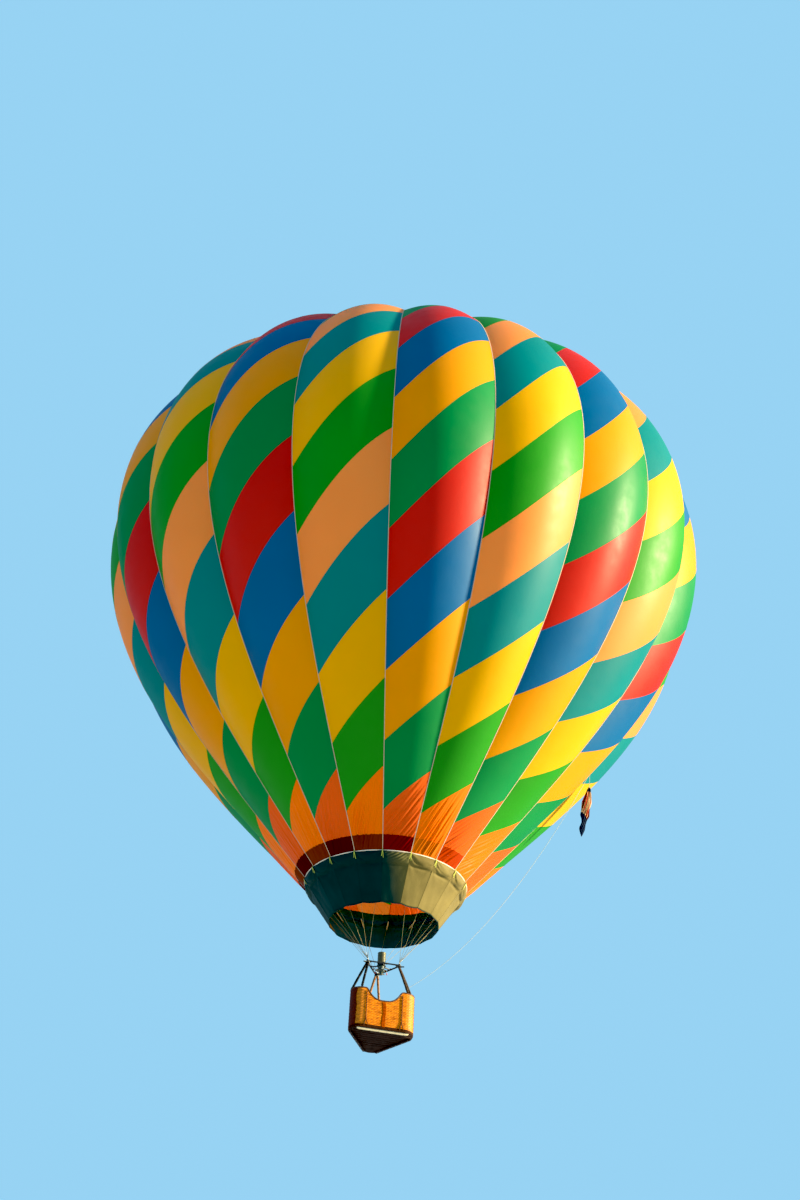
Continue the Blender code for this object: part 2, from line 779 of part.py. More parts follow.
def make_flag_line(profile, material):
    """Slack line from the toggle to the upright at the nearest corner of the basket."""
    top, foot = upright_ends(CORNER_ANGLES[0], 1)
    tie = top.lerp(foot, LINE_TIE_SHARE)
    anchor = flag_anchor(profile)
    first = (line_point(anchor, tie, 0.02) - anchor).normalized()
    last = (line_point(anchor, tie, 0.98) - tie).normalized()
    start = anchor + first * TOGGLE_R
    along = (foot - top).normalized().dot(last)
    end = tie + last * ((UPRIGHT_R + LINE_R * abs(along) + GAP) / math.sqrt(1 - along ** 2))
    points = [line_point(start, end, i / (LINE_POINTS - 1)) for i in range(LINE_POINTS)]
    return tube("flag_line", points, LINE_R, material, resolution=1)


def main():
    clear_scene()
    for name in ("hot_air_balloon", "cutters"):
        collection = bpy.data.collections.new(name)
        bpy.context.scene.collection.children.link(collection)

    gore_fabrics = [
        make_material("fabric_dark_gores", (0.55, 0.05, 0.03), 0.45),
        make_material("fabric_light_gores", (0.95, 0.45, 0.04), 0.45),
    ]
    vent_fabric = make_material("fabric_vent", (0.60, 0.06, 0.03), 0.45)
    webbing = make_material("webbing", (0.75, 0.62, 0.55), 0.7)
    skirt_fabric = make_material("fabric_skirt", (0.01, 0.09, 0.08), 0.55)
    steel = make_material("stay_steel", (0.45, 0.42, 0.35), 0.4, 0.9)
    frame_paint = make_material("frame_paint", (0.03, 0.04, 0.05), 0.4)
    bright = make_material("toggle_metal", (0.6, 0.6, 0.6), 0.35, 0.9)
    burner_dark = make_material("burner_body_metal", (0.05, 0.07, 0.06), 0.45, 0.6)
    coil_steel = make_material("coil_steel", (0.33, 0.32, 0.22), 0.45, 0.8)
    wicker = make_material("wicker", (0.80, 0.38, 0.04), 0.7)
    leather = make_material("rim_leather", (0.20, 0.08, 0.04), 0.6)
    hide = make_material("base_hide", (0.16, 0.06, 0.03), 0.85)
    board = make_material("floor_board", (0.12, 0.07, 0.05), 0.8)
    runner_wood = make_material("runner_wood", (0.80, 0.66, 0.45), 0.6)
    sleeve = make_material("upright_sleeve", (0.09, 0.05, 0.04), 0.7)
    tank_paint = make_material("cylinder_metal", (0.65, 0.66, 0.66), 0.35, 0.8)
    flag_fabric = make_material("flag_fabric", (0.55, 0.08, 0.10), 0.6)
    rope = make_material("flag_rope", (0.80, 0.80, 0.76), 0.7)

    profile = tape_profile()
    for number in range(GORES):
        make_gore(number, profile, gore_fabrics[number % 2])
    make_crown_band(profile, webbing)
    make_vent(profile, vent_fabric)
    make_crown_web(profile, webbing)

    make_mouth_ring(webbing)
    make_skirt(skirt_fabric)
    for i, angle in enumerate(CORNER_ANGLES):
        make_stays(i + 1, angle, steel)
    make_load_frame(frame_paint)

    make_burner_mount(frame_paint)
    make_burner_body(burner_dark)
    make_burner_coil(coil_steel)

    columns = basket_columns()
    make_basket_wall(columns, wicker)
    make_rim(columns, leather)
    make_base_band(columns, hide)
    make_floor(columns, board)
    for i, angle in enumerate(CORNER_ANGLES):
        make_runner(i + 1, angle + math.pi, runner_wood)
        for side in (-1, 1):
            make_upright(2 * i + (side + 3) // 2, angle, side, sleeve)
        make_tank(i + 1, angle, tank_paint)

    make_toggle(profile, bright)
    make_flag(profile, flag_fabric)
    make_flag_line(profile, rope)


main()
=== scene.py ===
"""Looks of the hot air balloon: nylon gores sewn from coloured panels, load tapes, vent, skirt,
stays, burner, a woven basket and a furled flag.

Metres, +Z up. The origin is on the axis at the envelope's widest level. Angles are measured from
the front (-Y) towards +X, so a point is (r sin a, -r cos a, z).
"""
import math
import random

import bmesh
import bpy
import numpy as np
from mathutils import Matrix, Vector


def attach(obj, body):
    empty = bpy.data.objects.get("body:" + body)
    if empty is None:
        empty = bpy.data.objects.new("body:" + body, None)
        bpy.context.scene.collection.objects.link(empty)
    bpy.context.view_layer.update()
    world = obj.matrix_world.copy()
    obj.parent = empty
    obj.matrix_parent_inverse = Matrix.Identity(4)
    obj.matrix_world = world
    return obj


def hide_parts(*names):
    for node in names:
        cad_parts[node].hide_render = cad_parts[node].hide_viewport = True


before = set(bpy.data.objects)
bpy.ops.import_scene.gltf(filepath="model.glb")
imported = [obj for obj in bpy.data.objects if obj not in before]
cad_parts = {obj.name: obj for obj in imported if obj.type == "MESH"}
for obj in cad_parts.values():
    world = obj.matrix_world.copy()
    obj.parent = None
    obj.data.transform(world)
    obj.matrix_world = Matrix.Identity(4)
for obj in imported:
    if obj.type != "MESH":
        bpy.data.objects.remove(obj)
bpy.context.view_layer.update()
random.seed(18)

# Load tapes: the natural shape of a balloon, from the mouth to the crown opening
GORES = 18
GORE_ANGLE = math.tau / GORES
TAPE_ANGLES = [GORE_ANGLE * (k + 0.5) for k in range(GORES)]
MOUTH_R = 2.26
MOUTH_Z = -10.59
MOUTH_LEAN = math.radians(40)
NEUTRAL_RISE = 0.33
PRESSURE = 0.00173
TAPE_STEP = 0.05
TAPE_LENGTH = 21.75
EDGE_BULGE = 0.05
MID_BULGE = 0.187
BULGE_POWER = 0.8
LEVEL_RIM = 3.0

# Panels: each seam rises to the right by a share of the gore's width
CLOTH_COLUMNS = 56
FIRST_SEAM = 1.12
PANEL_LENGTH = 1.935
SEAM_RISE = 1.065
SCORCH_BAND = 0.44
PANELS = 12
PANEL_ROWS = 9
WRINKLE_HEIGHT = 0.022
WRINKLED_GORES = {17: (2.2, 0.25), 0: (2.4, 0.62), 1: (1.6, 0.25), 2: (2.2, 0.60),
                  3: (2.0, 0.70), 4: (1.6, 0.55)}
# Gores where sunlight falls on the double band draw it in the panel's own cloth: painted sunlight.
SUNLIT_BANDS = (3, 4, 5)
CORAL_GORES = (7, 8, 9, 10, 11)
BOTTOM_ROWS = 30
BAND_ROWS = 12
SEAM_WIDTH = 0.022
LOAD_TAPE_WIDTH = 0.022

# Crown: band, vent below it and tapes over it
BAND_OVERHANG = 0.07
VENT_SEAT = 0.15
VENT_DEPTH = 0.024
WEB_LIFT = 0.006

# Skirt
SKIRT_TOP_R = 2.29
SKIRT_TOP_Z = -10.621
SKIRT_BOTTOM_R = 1.54
SKIRT_BOTTOM_Z = -11.77
# Panels on the side towards the sun take a tan colour in place of the dark skirt cloth: painted sunlight.
SUNLIT_PANELS = (1, 2, 3, 4, 5, 6)
# This panel fades from the dark cloth to olive where the light turns away: a painted terminator.
TERMINATOR_PANEL = 0
SKIRT_DROOP = 0.05
SKIRT_ROLL = 0.33
SKIRT_GROOVE = 0.030
SKIRT_CRUMPLE = 0.016
FACING_HEIGHT = 0.44
FACING_INSET = 0.014
FACING_LOW_R = 2.250
FACING_LOW_Z = -10.665
# Inside panels where sunlight through the mouth falls take a gold colour: painted sunlight.
SUNLIT_INSIDE_PANELS = (12, 13)

# Load frame, stays and burner
BASKET_TURN = math.radians(6)
CORNER_ANGLES = [BASKET_TURN + math.radians(turn) for turn in (60, 180, 300)]
FRAME_R = 0.52
FRAME_Z = -13.08
PLATE_LOW = -0.040
STAY_FOOT = 0.045
STAY_RING_R = 2.243
STAY_SPREAD = 6
COIL_R = 0.115
COIL_LOW = 0.10
COIL_TOP = 0.42
BODY_R = 0.085

# Basket plan: a triangle with round corners, its sides scooped between the corners
BASKET_INRADIUS = 0.635
CORNER_R = 0.29
BASKET_BOTTOM_Z = -15.21
BASKET_TOP_Z = -14.07
BASKET_TAPER = -0.010
BASKET_WALL = 0.030
SCOOP_DEPTH = 0.33
SCOOP_HALF_WIDTH = 0.50
SCOOP_POWER = 3
RIM_HEIGHT = 0.045
BAND_HEIGHT = 0.075
LACE_STEP = 0.12
CABLE_OFFSET = 0.50
LOOP_HEIGHT = 0.22
STRIP_PLACE = 0.70
SHADED_CORNER = 2
# At the left corner the dark hide strip is widened over the side that turns from the light.
HIDE_PLACE = 0.41
HIDE_WIDTH = 0.376
CORE = BASKET_INRADIUS - CORNER_R
SIDE_HALF = CORE * math.tan(math.radians(60))
ARC_LENGTH = CORNER_R * math.radians(120)
THIRD = 2 * SIDE_HALF + ARC_LENGTH
PERIMETER = 3 * THIRD
STAKES = 68
WEAVE_ROW = 0.024
WEAVE_DEPTH = 0.006

# Uprights, cylinders, flag and line, as in the solids
UPRIGHT_TOP_SPREAD = 0.032
UPRIGHT_FOOT_ANGLE = math.radians(50)
UPRIGHT_R = 0.025
SLEEVE_R = 0.034
TANK_R = 0.145
FLAG_TAPE_ANGLE = math.radians(90)
FLAG_SHARE = 0.25
TOGGLE_R = 0.030
TOGGLE_SEAT = 1.045
FLAG_LEAD = 0.40
FLAG_LENGTH = 1.60
FLAG_HALF_WIDTH = 0.150
FLAG_HALF_DEPTH = 0.080
FLAG_LEAN = 0.20
LINE_R = 0.006
LINE_SAG = 0.90
LINE_POINTS = 40
LINE_TIE_SHARE = 0.66
GAP = 0.0003
UP = np.array([0, 0, 1.0])

# Camera: far off and low, looking up
CAMERA_ANGLE = math.radians(-6.6)
CAMERA_DISTANCE = 117.0
CAMERA_DROP = math.radians(30.7)
CAMERA_ROLL = math.radians(3.06)
CAMERA_LENS = 120
IMAGE_HEIGHT = 1200
ORIGIN_FROM_CENTRE = (3, -40)
FLOOR_DROP = 0.3
FLOOR_RADIUS = 1500

# Sun
SUN_ANGLE = math.radians(80)
SUN_HEIGHT = math.radians(13)
SUN_STRENGTH = 15.0
SUN_COLOUR = (1.0, 0.86, 0.50)
SUN_SIZE = math.radians(5)
SKY_COLOUR = (0.34, 0.69, 0.95)
SKY_STRENGTH = 0.95
BLACK_LEVEL = (0.018, 0.018, 0.018)


# Points and paths

def polar(angle, r, z):
    """Points at angles from the front, radii and heights."""
    angle, r, z = np.broadcast_arrays(angle, r, z)
    return np.stack([r * np.sin(angle), -r * np.cos(angle), z], -1)


def away(angle):
    """Level unit vector from the axis towards an angle."""
    return polar(angle, 1, 0)


def beside(angle):
    """Level unit vector to the right of a point at an angle."""
    return polar(angle + math.pi / 2, 1, 0)


def unit(vectors):
    return vectors / np.linalg.norm(vectors, axis=-1, keepdims=True)


def turns(count):
    """Angles of a full circle in equal steps."""
    return np.arange(count) * math.tau / count


def ellipse(centre, a, b, count):
    """Ring of points round a centre, with its half axes as vectors."""
    turn = turns(count)[:, None]
    return centre + np.cos(turn) * a + np.sin(turn) * b


def tape_table():
    """Load tape from the mouth to the crown opening as rows of (r, z, lean), a step apart."""
    neutral_z = MOUTH_Z + NEUTRAL_RISE
    r, z, lean = MOUTH_R, MOUTH_Z, MOUTH_LEAN
    rows = [(r, z, lean)]
    for _ in range(round(TAPE_LENGTH / TAPE_STEP)):
        half = TAPE_STEP / 2
        mid_r = r + math.sin(lean) * half
        mid_z = z + math.cos(lean) * half
        mid_lean = lean - PRESSURE * r * (z - neutral_z) * half
        r += math.sin(mid_lean) * TAPE_STEP
        z += math.cos(mid_lean) * TAPE_STEP
        lean -= PRESSURE * mid_r * (mid_z - neutral_z) * TAPE_STEP
        rows.append((r, z, lean))
    return np.array(rows)


TAPE = tape_table()


def tape_at(length):
    """Radius, height and lean of the load tape at lengths from the mouth."""
    place = np.asarray(length) / TAPE_STEP
    return [np.interp(place, np.arange(len(TAPE)), TAPE[:, k]) for k in range(3)]


def flat_panel(left_angle, r, z, u):
    """Points at shares u of the straight way from one load tape to the next, and its width."""
    left = polar(left_angle, r, z)
    right = polar(left_angle + GORE_ANGLE, r, z)
    return left + (right - left) * u[..., None], 2 * r * math.sin(GORE_ANGLE / 2)


def bulge(s):
    """Depth of a gore's bulge at lengths s up its tapes, as a share of its width."""
    swell = np.sin(np.pi * np.clip(s / TAPE_LENGTH, 0, 1)) ** BULGE_POWER
    return EDGE_BULGE + (MID_BULGE - EDGE_BULGE) * swell


def seam_lengths(number):
    """Where seam number meets the left and right tapes, as lengths up the tapes."""
    left = FIRST_SEAM + number * PANEL_LENGTH
    rise = 0.0
    for _ in range(8):
        radius = tape_at(left + rise / 2)[0]
        rise = SEAM_RISE * 2 * radius * math.sin(GORE_ANGLE / 2)
    return left, left + rise


def turned_level(points, angle):
    """Points turned about the axis."""
    cos, sin = math.cos(angle), math.sin(angle)
    return points @ np.array([(cos, sin, 0), (-sin, cos, 0), (0, 0, 1)])


def path_frames(points, up, loop):
    """Side and up vectors along a path; up is turned square to the path."""
    step = np.roll(points, -1, 0) - np.roll(points, 1, 0) if loop else np.gradient(points, axis=0)
    tangent = unit(step)
    side = unit(np.cross(tangent, np.broadcast_to(up, points.shape)))
    return side, np.cross(side, tangent)


def carried_up(path):
    """Up directions that follow an open path without twisting."""
    tangent = unit(np.gradient(path, axis=0))
    up = np.eye(3)[np.argmin(np.abs(tangent[0]))]
    result = []
    for way in tangent:
        up = unit(up - way * (up @ way))
        result.append(up)
    return np.array(result)


def circle(radius, sides=10, squash=1.0):
    turn = turns(sides)
    return np.stack([np.cos(turn) * radius, np.sin(turn) * radius * squash], -1)


def slab(width, thickness):
    """Outline of a flat strap, standing on its underside."""
    half = width / 2
    edge = thickness * 0.3
    return np.array([(-half, 0), (half, 0), (half, thickness - edge), (half - edge, thickness),
                     (edge - half, thickness), (-half, thickness - edge)])


class Shape:
    """Collects grids of points into one mesh object."""

    def __init__(self):
        self.parts = []
        self.count = 0

    def grid(self, points, slot=0, wrap=False, loop=False, caps=False, uv=None):
        """Faces over a (rows, columns, 3) array. wrap joins the columns, loop joins the rows."""
        rows, columns = points.shape[:2]
        index = np.arange(rows * columns).reshape(rows, columns)
        ends = [index[0, ::-1], index[-1]]
        if wrap:
            index = np.hstack([index, index[:, :1]])
        if loop:
            index = np.vstack([index, index[:1]])
        quads = np.stack([index[:-1, :-1], index[:-1, 1:], index[1:, 1:], index[1:, :-1]], -1)
        loops = [quads.ravel()] + (ends if caps else [])
        loops = np.concatenate(loops)
        sizes = np.array([4] * (quads.size // 4) + [columns] * (2 * caps))
        places = np.zeros((rows * columns, 2)) if uv is None else uv.reshape(-1, 2)
        slots = np.resize(slot, len(sizes))
        self.parts.append((points.reshape(-1, 3), loops + self.count, sizes, slots, places[loops]))
        self.count += rows * columns
        return self

    def sweep(self, path, up, outline, slot=0, loop=False, scale=1.0):
        """Outline of (side, up) points carried along a path, closed at its ends."""
        side, lift = path_frames(path, up, loop)
        size = np.broadcast_to(scale, len(path))[:, None, None]
        across = side[:, None] * outline[None, :, :1] + lift[:, None] * outline[None, :, 1:]
        points = path[:, None] + across * size
        return self.grid(points[:, ::-1], slot, wrap=True, loop=loop, caps=not loop)

    def tube(self, path, radius, sides=8, slot=0, loop=False, up=None):
        """Round tube along a path. Without an up direction the frame is carried along it."""
        if up is None:
            up = carried_up(path)
        return self.sweep(path, up, circle(radius, sides), slot, loop)

    def rod(self, start, way, radius, sides=8, slot=0):
        """Straight round bar from a point as far as a vector reaches."""
        return self.tube(np.array([start, start + way]), radius, sides, slot)

    def turned(self, profile, sides, centre=(0, 0, 0), slot=0):
        """Profile of (r, z) points, from the bottom up on its outer side, turned round Z."""
        r, z = np.array(profile, float).T[..., None]
        return self.grid(polar(turns(sides), r, z) + centre, slot, wrap=True)

    def make(self, name, materials, body="balloon", smooth=40, weld=0.0, slot_name=None):
        """The mesh object, riding on a body. slot_name is not used."""
        points, loops, sizes, slots, uvs = (np.concatenate(part) for part in zip(*self.parts))
        mesh = bpy.data.meshes.new(name)
        mesh.vertices.add(len(points))
        mesh.vertices.foreach_set("co", points.astype(np.float32).ravel())
        mesh.loops.add(len(loops))
        mesh.loops.foreach_set("vertex_index", loops.astype(np.int32))
        mesh.polygons.add(len(sizes))
        mesh.polygons.foreach_set("loop_start", (np.cumsum(sizes) - sizes).astype(np.int32))
        mesh.polygons.foreach_set("material_index", slots.astype(np.int32))
        layer = mesh.uv_layers.new(name="cloth")
        layer.data.foreach_set("uv", uvs.astype(np.float32).ravel())
        mesh.update(calc_edges=True)
        for material in materials:
            mesh.materials.append(material)
        if weld:
            bm = bmesh.new()
            bm.from_mesh(mesh)
            bmesh.ops.remove_doubles(bm, verts=bm.verts, dist=weld)
            bmesh.ops.dissolve_degenerate(bm, edges=bm.edges, dist=weld)
            bm.to_mesh(mesh)
            bm.free()
        if smooth:
            mesh.shade_smooth()
            if smooth < 180:
                mesh.set_sharp_from_angle(angle=math.radians(smooth))
        obj = bpy.data.objects.new(name, mesh)
        bpy.context.scene.collection.objects.link(obj)
        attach(obj, body)
        return obj


# Materials

class Look:
    """Node tree of one material, with short ways to add nodes."""

    def __init__(self, name, roughness=0.5, metallic=0.0, specular=0.5):
        self.material = bpy.data.materials.new(name)
        self.material.use_nodes = True
        self.tree = self.material.node_tree
        self.shader = self.tree.nodes["Principled BSDF"]
        self.shader.inputs["Roughness"].default_value = roughness
        self.shader.inputs["Metallic"].default_value = metallic
        self.shader.inputs["Specular IOR Level"].default_value = specular
        self.normal = None

    def set(self, socket, value):
        """Give an input a number, a colour or another node's output."""
        if isinstance(value, bpy.types.NodeSocket):
            self.tree.links.new(value, socket)
        elif socket.type == "RGBA":
            socket.default_value = (*value[:3], 1.0)
        else:
            socket.default_value = value

    def node(self, kind, inputs, **settings):
        """Add a node and give its outputs. Its inputs go by name or number."""
        node = self.tree.nodes.new("ShaderNode" + kind)
        for key, value in settings.items():
            setattr(node, key, value)
        for key, value in inputs.items():
            self.set(node.inputs[key], value)
        return node.outputs

    def coordinates(self, kind="Object", scale=(1, 1, 1)):
        source = self.node("TexCoord", {})[kind]
        return self.node("Mapping", {"Vector": source, "Scale": scale})["Vector"]

    def noise(self, scale, detail=2.0, stretch=(1, 1, 1), distortion=0.0):
        inputs = {"Vector": self.coordinates(scale=stretch), "Scale": scale, "Detail": detail,
                  "Distortion": distortion}
        return self.node("TexNoise", inputs)["Fac"]

    def wave(self, scale, direction="X", kind="Object"):
        inputs = {"Vector": self.coordinates(kind), "Scale": scale}
        return self.node("TexWave", inputs, bands_direction=direction)["Fac"]

    def maths(self, operation, a, b):
        return self.node("Math", {0: a, 1: b}, operation=operation)[0]

    def between(self, factor, low, high, start, end):
        """A number that goes from low to high as factor goes from start to end."""
        return self.node("MapRange", {"Value": factor, "From Min": start, "From Max": end,
                                      "To Min": low, "To Max": high})[0]

    def mix(self, factor, a, b):
        return self.node("Mix", {0: factor, 6: a, 7: b}, data_type="RGBA")[2]

    def tint(self, factor, a, b, start=0.3, end=0.7, most=1.0):
        """Colour that goes from a towards b as factor goes from start to end."""
        return self.mix(self.between(factor, 0.0, most, start, end), a, b)

    def shades(self, factor, colour, dark, light, start=0.3, end=0.7):
        """Darker and lighter shades of one colour."""
        return self.tint(factor, scaled(colour, dark), scaled(colour, light), start, end)

    def colour(self, value):
        self.set(self.shader.inputs["Base Color"], value)

    def rough(self, factor, low, high, end=0.7):
        """Roughness that goes from low to high with a noise."""
        self.set(self.shader.inputs["Roughness"], self.between(factor, low, high, 0.3, end))

    def sheen(self, weight, roughness=0.4):
        self.shader.inputs["Sheen Weight"].default_value = weight
        self.shader.inputs["Sheen Roughness"].default_value = roughness

    def bump(self, height, distance, strength=1.0):
        """Add one layer of relief, in metres, over those before it."""
        inputs = {"Height": height, "Distance": distance, "Strength": strength}
        if self.normal is not None:
            inputs["Normal"] = self.normal
        self.normal = self.node("Bump", inputs)["Normal"]
        self.set(self.shader.inputs["Normal"], self.normal)
        return self

    def glowing_through(self, colour, share):
        """Let light through: mix the shader with a translucent one."""
        glow = self.node("BsdfTranslucent", {"Color": colour, "Normal": self.normal})["BSDF"]
        inputs = {"Fac": share, 1: self.shader.outputs["BSDF"], 2: glow}
        mixed = self.node("MixShader", inputs)["Shader"]
        self.set(self.tree.nodes["Material Output"].inputs["Surface"], mixed)
        return self


def scaled(colour, factor):
    return tuple(min(1.0, c * factor) for c in colour)


def nylon(name, colour, share=0.42, roughness=0.50, specular=0.36, through=None):
    """Coated ripstop nylon: soft sheen, a fine grid of thicker threads and faint crinkles.

    Light that comes through the cloth may have a deeper colour than light off its face.
    """
    look = Look(name, roughness, specular=specular)
    tone = look.shades(look.noise(0.35, 3.0), colour, 0.93, 1.05)
    ripstop = look.maths("MAXIMUM", look.wave(25.0, "X", "UV"), look.wave(25.0, "Y", "UV"))
    look.colour(look.tint(ripstop, tone, scaled(colour, 0.75), 0.86, 1.0, 0.10))
    look.rough(look.noise(2.5, 4.0), roughness - 0.05, roughness + 0.05)
    look.bump(look.noise(0.9, 3.0, (1, 1, 0.30)), 0.05, 0.12)
    look.bump(look.noise(9.0, 2.0, (1, 1, 0.5)), 0.003, 0.3)
    look.bump(ripstop, 0.0003, 0.5)
    return look.glowing_through(through or scaled(colour, 1.1), share).material


def webbing(name, colour):
    """Woven tape: a fine herringbone with worn, lighter threads."""
    look = Look(name, 0.75, specular=0.3)
    weave = look.maths("MULTIPLY", look.wave(160.0, "DIAGONAL"), look.wave(110.0, "Z"))
    tone = look.tint(look.noise(6.0, 4.0), colour, scaled(colour, 1.25), 0.4, 0.7, 0.5)
    look.colour(look.tint(weave, tone, scaled(colour, 0.6), 0.0, 1.0, 0.3))
    look.sheen(0.2)
    return look.bump(weave, 0.0008).material


def heavy_cloth(name, colour, share=0.08, painted_shade_from=None):
    """Fire-resistant skirt cloth: matte twill with soft creases. It may fade across its width into a
    painted shade colour, a painted terminator.
    """
    look = Look(name, 0.7, specular=0.15)
    tone = look.shades(look.noise(1.6, 5.0), colour, 0.82, 1.15)
    # Painted shade: the colour goes over to the dark shade colour across the width, a painted terminator.
    if painted_shade_from:
        place = look.node("SeparateXYZ", {0: look.coordinates("UV")})
        across = look.maths("ADD", place["X"], look.maths("MULTIPLY", place["Y"], 0.25))
        across = look.maths("ADD", across, look.maths("MULTIPLY", look.noise(3.0, 2.0), 0.12))
        tone = look.tint(across, painted_shade_from, tone, -0.24, 0.14)
    twill = look.wave(300.0, "DIAGONAL")
    look.colour(look.tint(twill, tone, scaled(colour, 0.7), 0.0, 1.0, 0.12))
    look.sheen(0.04, 0.5)
    look.bump(look.noise(3.5, 4.0, (1, 1, 0.5)), 0.02, 0.5)
    look.bump(look.noise(22.0, 3.0), 0.002, 0.5)
    look.bump(twill, 0.0004, 0.6)
    return look.glowing_through(colour, share).material


def metal(name, colour, roughness=0.35, metallic=1.0):
    """Metal with fine drawing marks, smudges and small dents."""
    look = Look(name, roughness, metallic)
    look.colour(look.shades(look.noise(14.0, 4.0), colour, 0.8, 1.1, 0.35))
    marks = look.noise(40.0, 3.0, (6, 6, 0.6))
    look.rough(marks, roughness - 0.08, roughness + 0.12)
    return look.bump(marks, 0.0003, 0.4).material


def paint(name, colour, roughness=0.42, chips=(0.35, 0.33, 0.30)):
    """Painted metal, chipped and rubbed in places."""
    look = Look(name, roughness)
    wear = look.noise(30.0, 6.0)
    tone = look.shades(look.noise(5.0), colour, 0.8, 1.2)
    look.colour(look.tint(wear, tone, chips, 0.66, 0.70))
    look.rough(wear, roughness - 0.08, roughness + 0.15, 0.75)
    return look.bump(look.noise(90.0, 2.0), 0.0004, 0.4).material


def heat_tinted(name):
    """Steel that flame has tinted olive and brown, sooty in places."""
    look = Look(name, 0.5, 0.4, 0.3)
    clouds = look.noise(9.0, 3.0, (1, 1, 2.2))
    tone = look.tint(clouds, (0.075, 0.078, 0.050), (0.118, 0.108, 0.070))
    look.colour(look.tint(look.noise(17.0, 5.0), tone, (0.05, 0.045, 0.04), 0.52, 0.75, 0.8))
    look.rough(clouds, 0.35, 0.6)
    return look.bump(look.noise(60.0, 3.0), 0.0005, 0.5).material


def willow(name, colour, dark):
    """Varnished willow rods, each its own shade, with fine bark lines."""
    look = Look(name, 0.55, specular=0.3)
    strand = look.noise(1.0, 3.0, (7, 7, 42))
    tone = look.tint(strand, dark, colour, 0.32, 0.68)
    knots = look.noise(1.0, 4.0, (30, 30, 60))
    look.colour(look.tint(knots, tone, scaled(dark, 0.45), 0.60, 0.72, 0.75))
    look.rough(strand, 0.40, 0.62)
    return look.bump(look.noise(1.0, 3.0, (12, 12, 400)), 0.0012, 0.7).material


def leather(name, colour, roughness=0.55, grain=260.0, specular=0.4):
    """Leather: pebbled grain, creases and edges rubbed pale."""
    look = Look(name, roughness, specular=specular)
    cells = look.node("TexVoronoi", {"Vector": look.coordinates(), "Scale": grain})
    creases = look.noise(18.0, 5.0)
    look.colour(look.shades(creases, colour, 0.65, 1.5, 0.3, 0.75))
    look.rough(creases, roughness - 0.1, roughness + 0.15)
    look.bump(creases, 0.003, 0.5)
    return look.bump(cells["Distance"], 0.0008, 0.6).material


def wood(name, colour, dark, roughness=0.55, specular=0.3):
    """Planed wood: growth lines along X, scuffed."""
    look = Look(name, roughness, specular=specular)
    grain = look.noise(1.0, 4.0, (3, 45, 45), 0.6)
    tone = look.tint(grain, dark, colour, 0.35, 0.65)
    look.colour(look.tint(look.noise(7.0, 6.0), tone, scaled(dark, 0.5), 0.55, 0.75, 0.5))
    look.rough(grain, roughness - 0.08, roughness + 0.12)
    return look.bump(grain, 0.0012, 0.6).material


def rope(name, colour):
    """Laid rope: slanting strands."""
    look = Look(name, 0.8, specular=0.2)
    strands = look.wave(70.0, "DIAGONAL")
    look.colour(look.tint(strands, colour, scaled(colour, 0.45), 0.0, 1.0, 0.6))
    look.sheen(0.2)
    return look.bump(strands, 0.001).material


DARK_SKIRT = (0.003, 0.028, 0.030)
LIGHT_CLOTH = [
    nylon("nylon_orange", (0.98, 0.19, 0.004)),
    nylon("nylon_bright_green", (0.020, 0.29, 0.011), through=(0.001, 0.30, 0.012)),
    nylon("nylon_yellow", (0.82, 0.42, 0.001)),
    nylon("nylon_teal", (0.001, 0.22, 0.25)),
    nylon("nylon_peach", (0.98, 0.295, 0.065)),
]
DARK_CLOTH = [
    nylon("nylon_red_orange", (0.84, 0.125, 0.011), through=(0.78, 0.055, 0.006)),
    nylon("nylon_dark_green", (0.001, 0.24, 0.06)),
    nylon("nylon_amber", (0.80, 0.31, 0.001)),
    nylon("nylon_blue", (0.001, 0.122, 0.35)),
    nylon("nylon_red", (0.58, 0.016, 0.008), through=(0.60, 0.001, 0.012)),
]
BROWN_BAND = nylon("nylon_brown_double", (0.17, 0.028, 0.008), 0.08, 0.75, 0.08)
MAROON_BAND = nylon("nylon_maroon_double", (0.075, 0.004, 0.003), 0.08, 0.75, 0.08)
# Lighter band cloths for the front gores the sun grazes or reaches: painted sunlight on the dark double
# band.
LIT_BAND_CLOTHS = {
    0: nylon("nylon_double_painted_grazing_sun", (0.17, 0.006, 0.005), 0.08, 0.75, 0.08),
    1: nylon("nylon_double_painted_sunlight", (0.60, 0.130, 0.012), 0.10, 0.7, 0.1),
    2: nylon("nylon_double_painted_part_sunlight", (0.34, 0.030, 0.004), 0.10, 0.7, 0.1),
}
CORAL_LIGHT = nylon("nylon_coral", (0.98, 0.24, 0.050))
CORAL_DARK = nylon("nylon_coral_red", (0.95, 0.13, 0.035))
VENT_CLOTH = nylon("nylon_vent", (0.50, 0.03, 0.012))
TAPE_CLOTH = webbing("load_tape", (0.46, 0.32, 0.24))
HEM_CLOTH = webbing("hem_tape", (0.66, 0.54, 0.46))
YELLOW_STRAP = webbing("strap_yellow_green", (0.40, 0.42, 0.07))
CREAM_STRAP = webbing("strap_cream", (0.78, 0.76, 0.62))
SKIRT_DARK = heavy_cloth("skirt_blue_green", DARK_SKIRT)
# Tan stand-in for the dark skirt cloth on the panels the sun reaches: painted sunlight.
SKIRT_PAINTED_SUNLIT = heavy_cloth("skirt_painted_sunlight", (0.165, 0.125, 0.042))
# Olive cloth fading to the dark cloth across the panel at the edge of the sunlight: painted shade.
SKIRT_PAINTED_TERMINATOR = heavy_cloth("skirt_painted_terminator", (0.115, 0.100, 0.038), painted_shade_from=DARK_SKIRT)
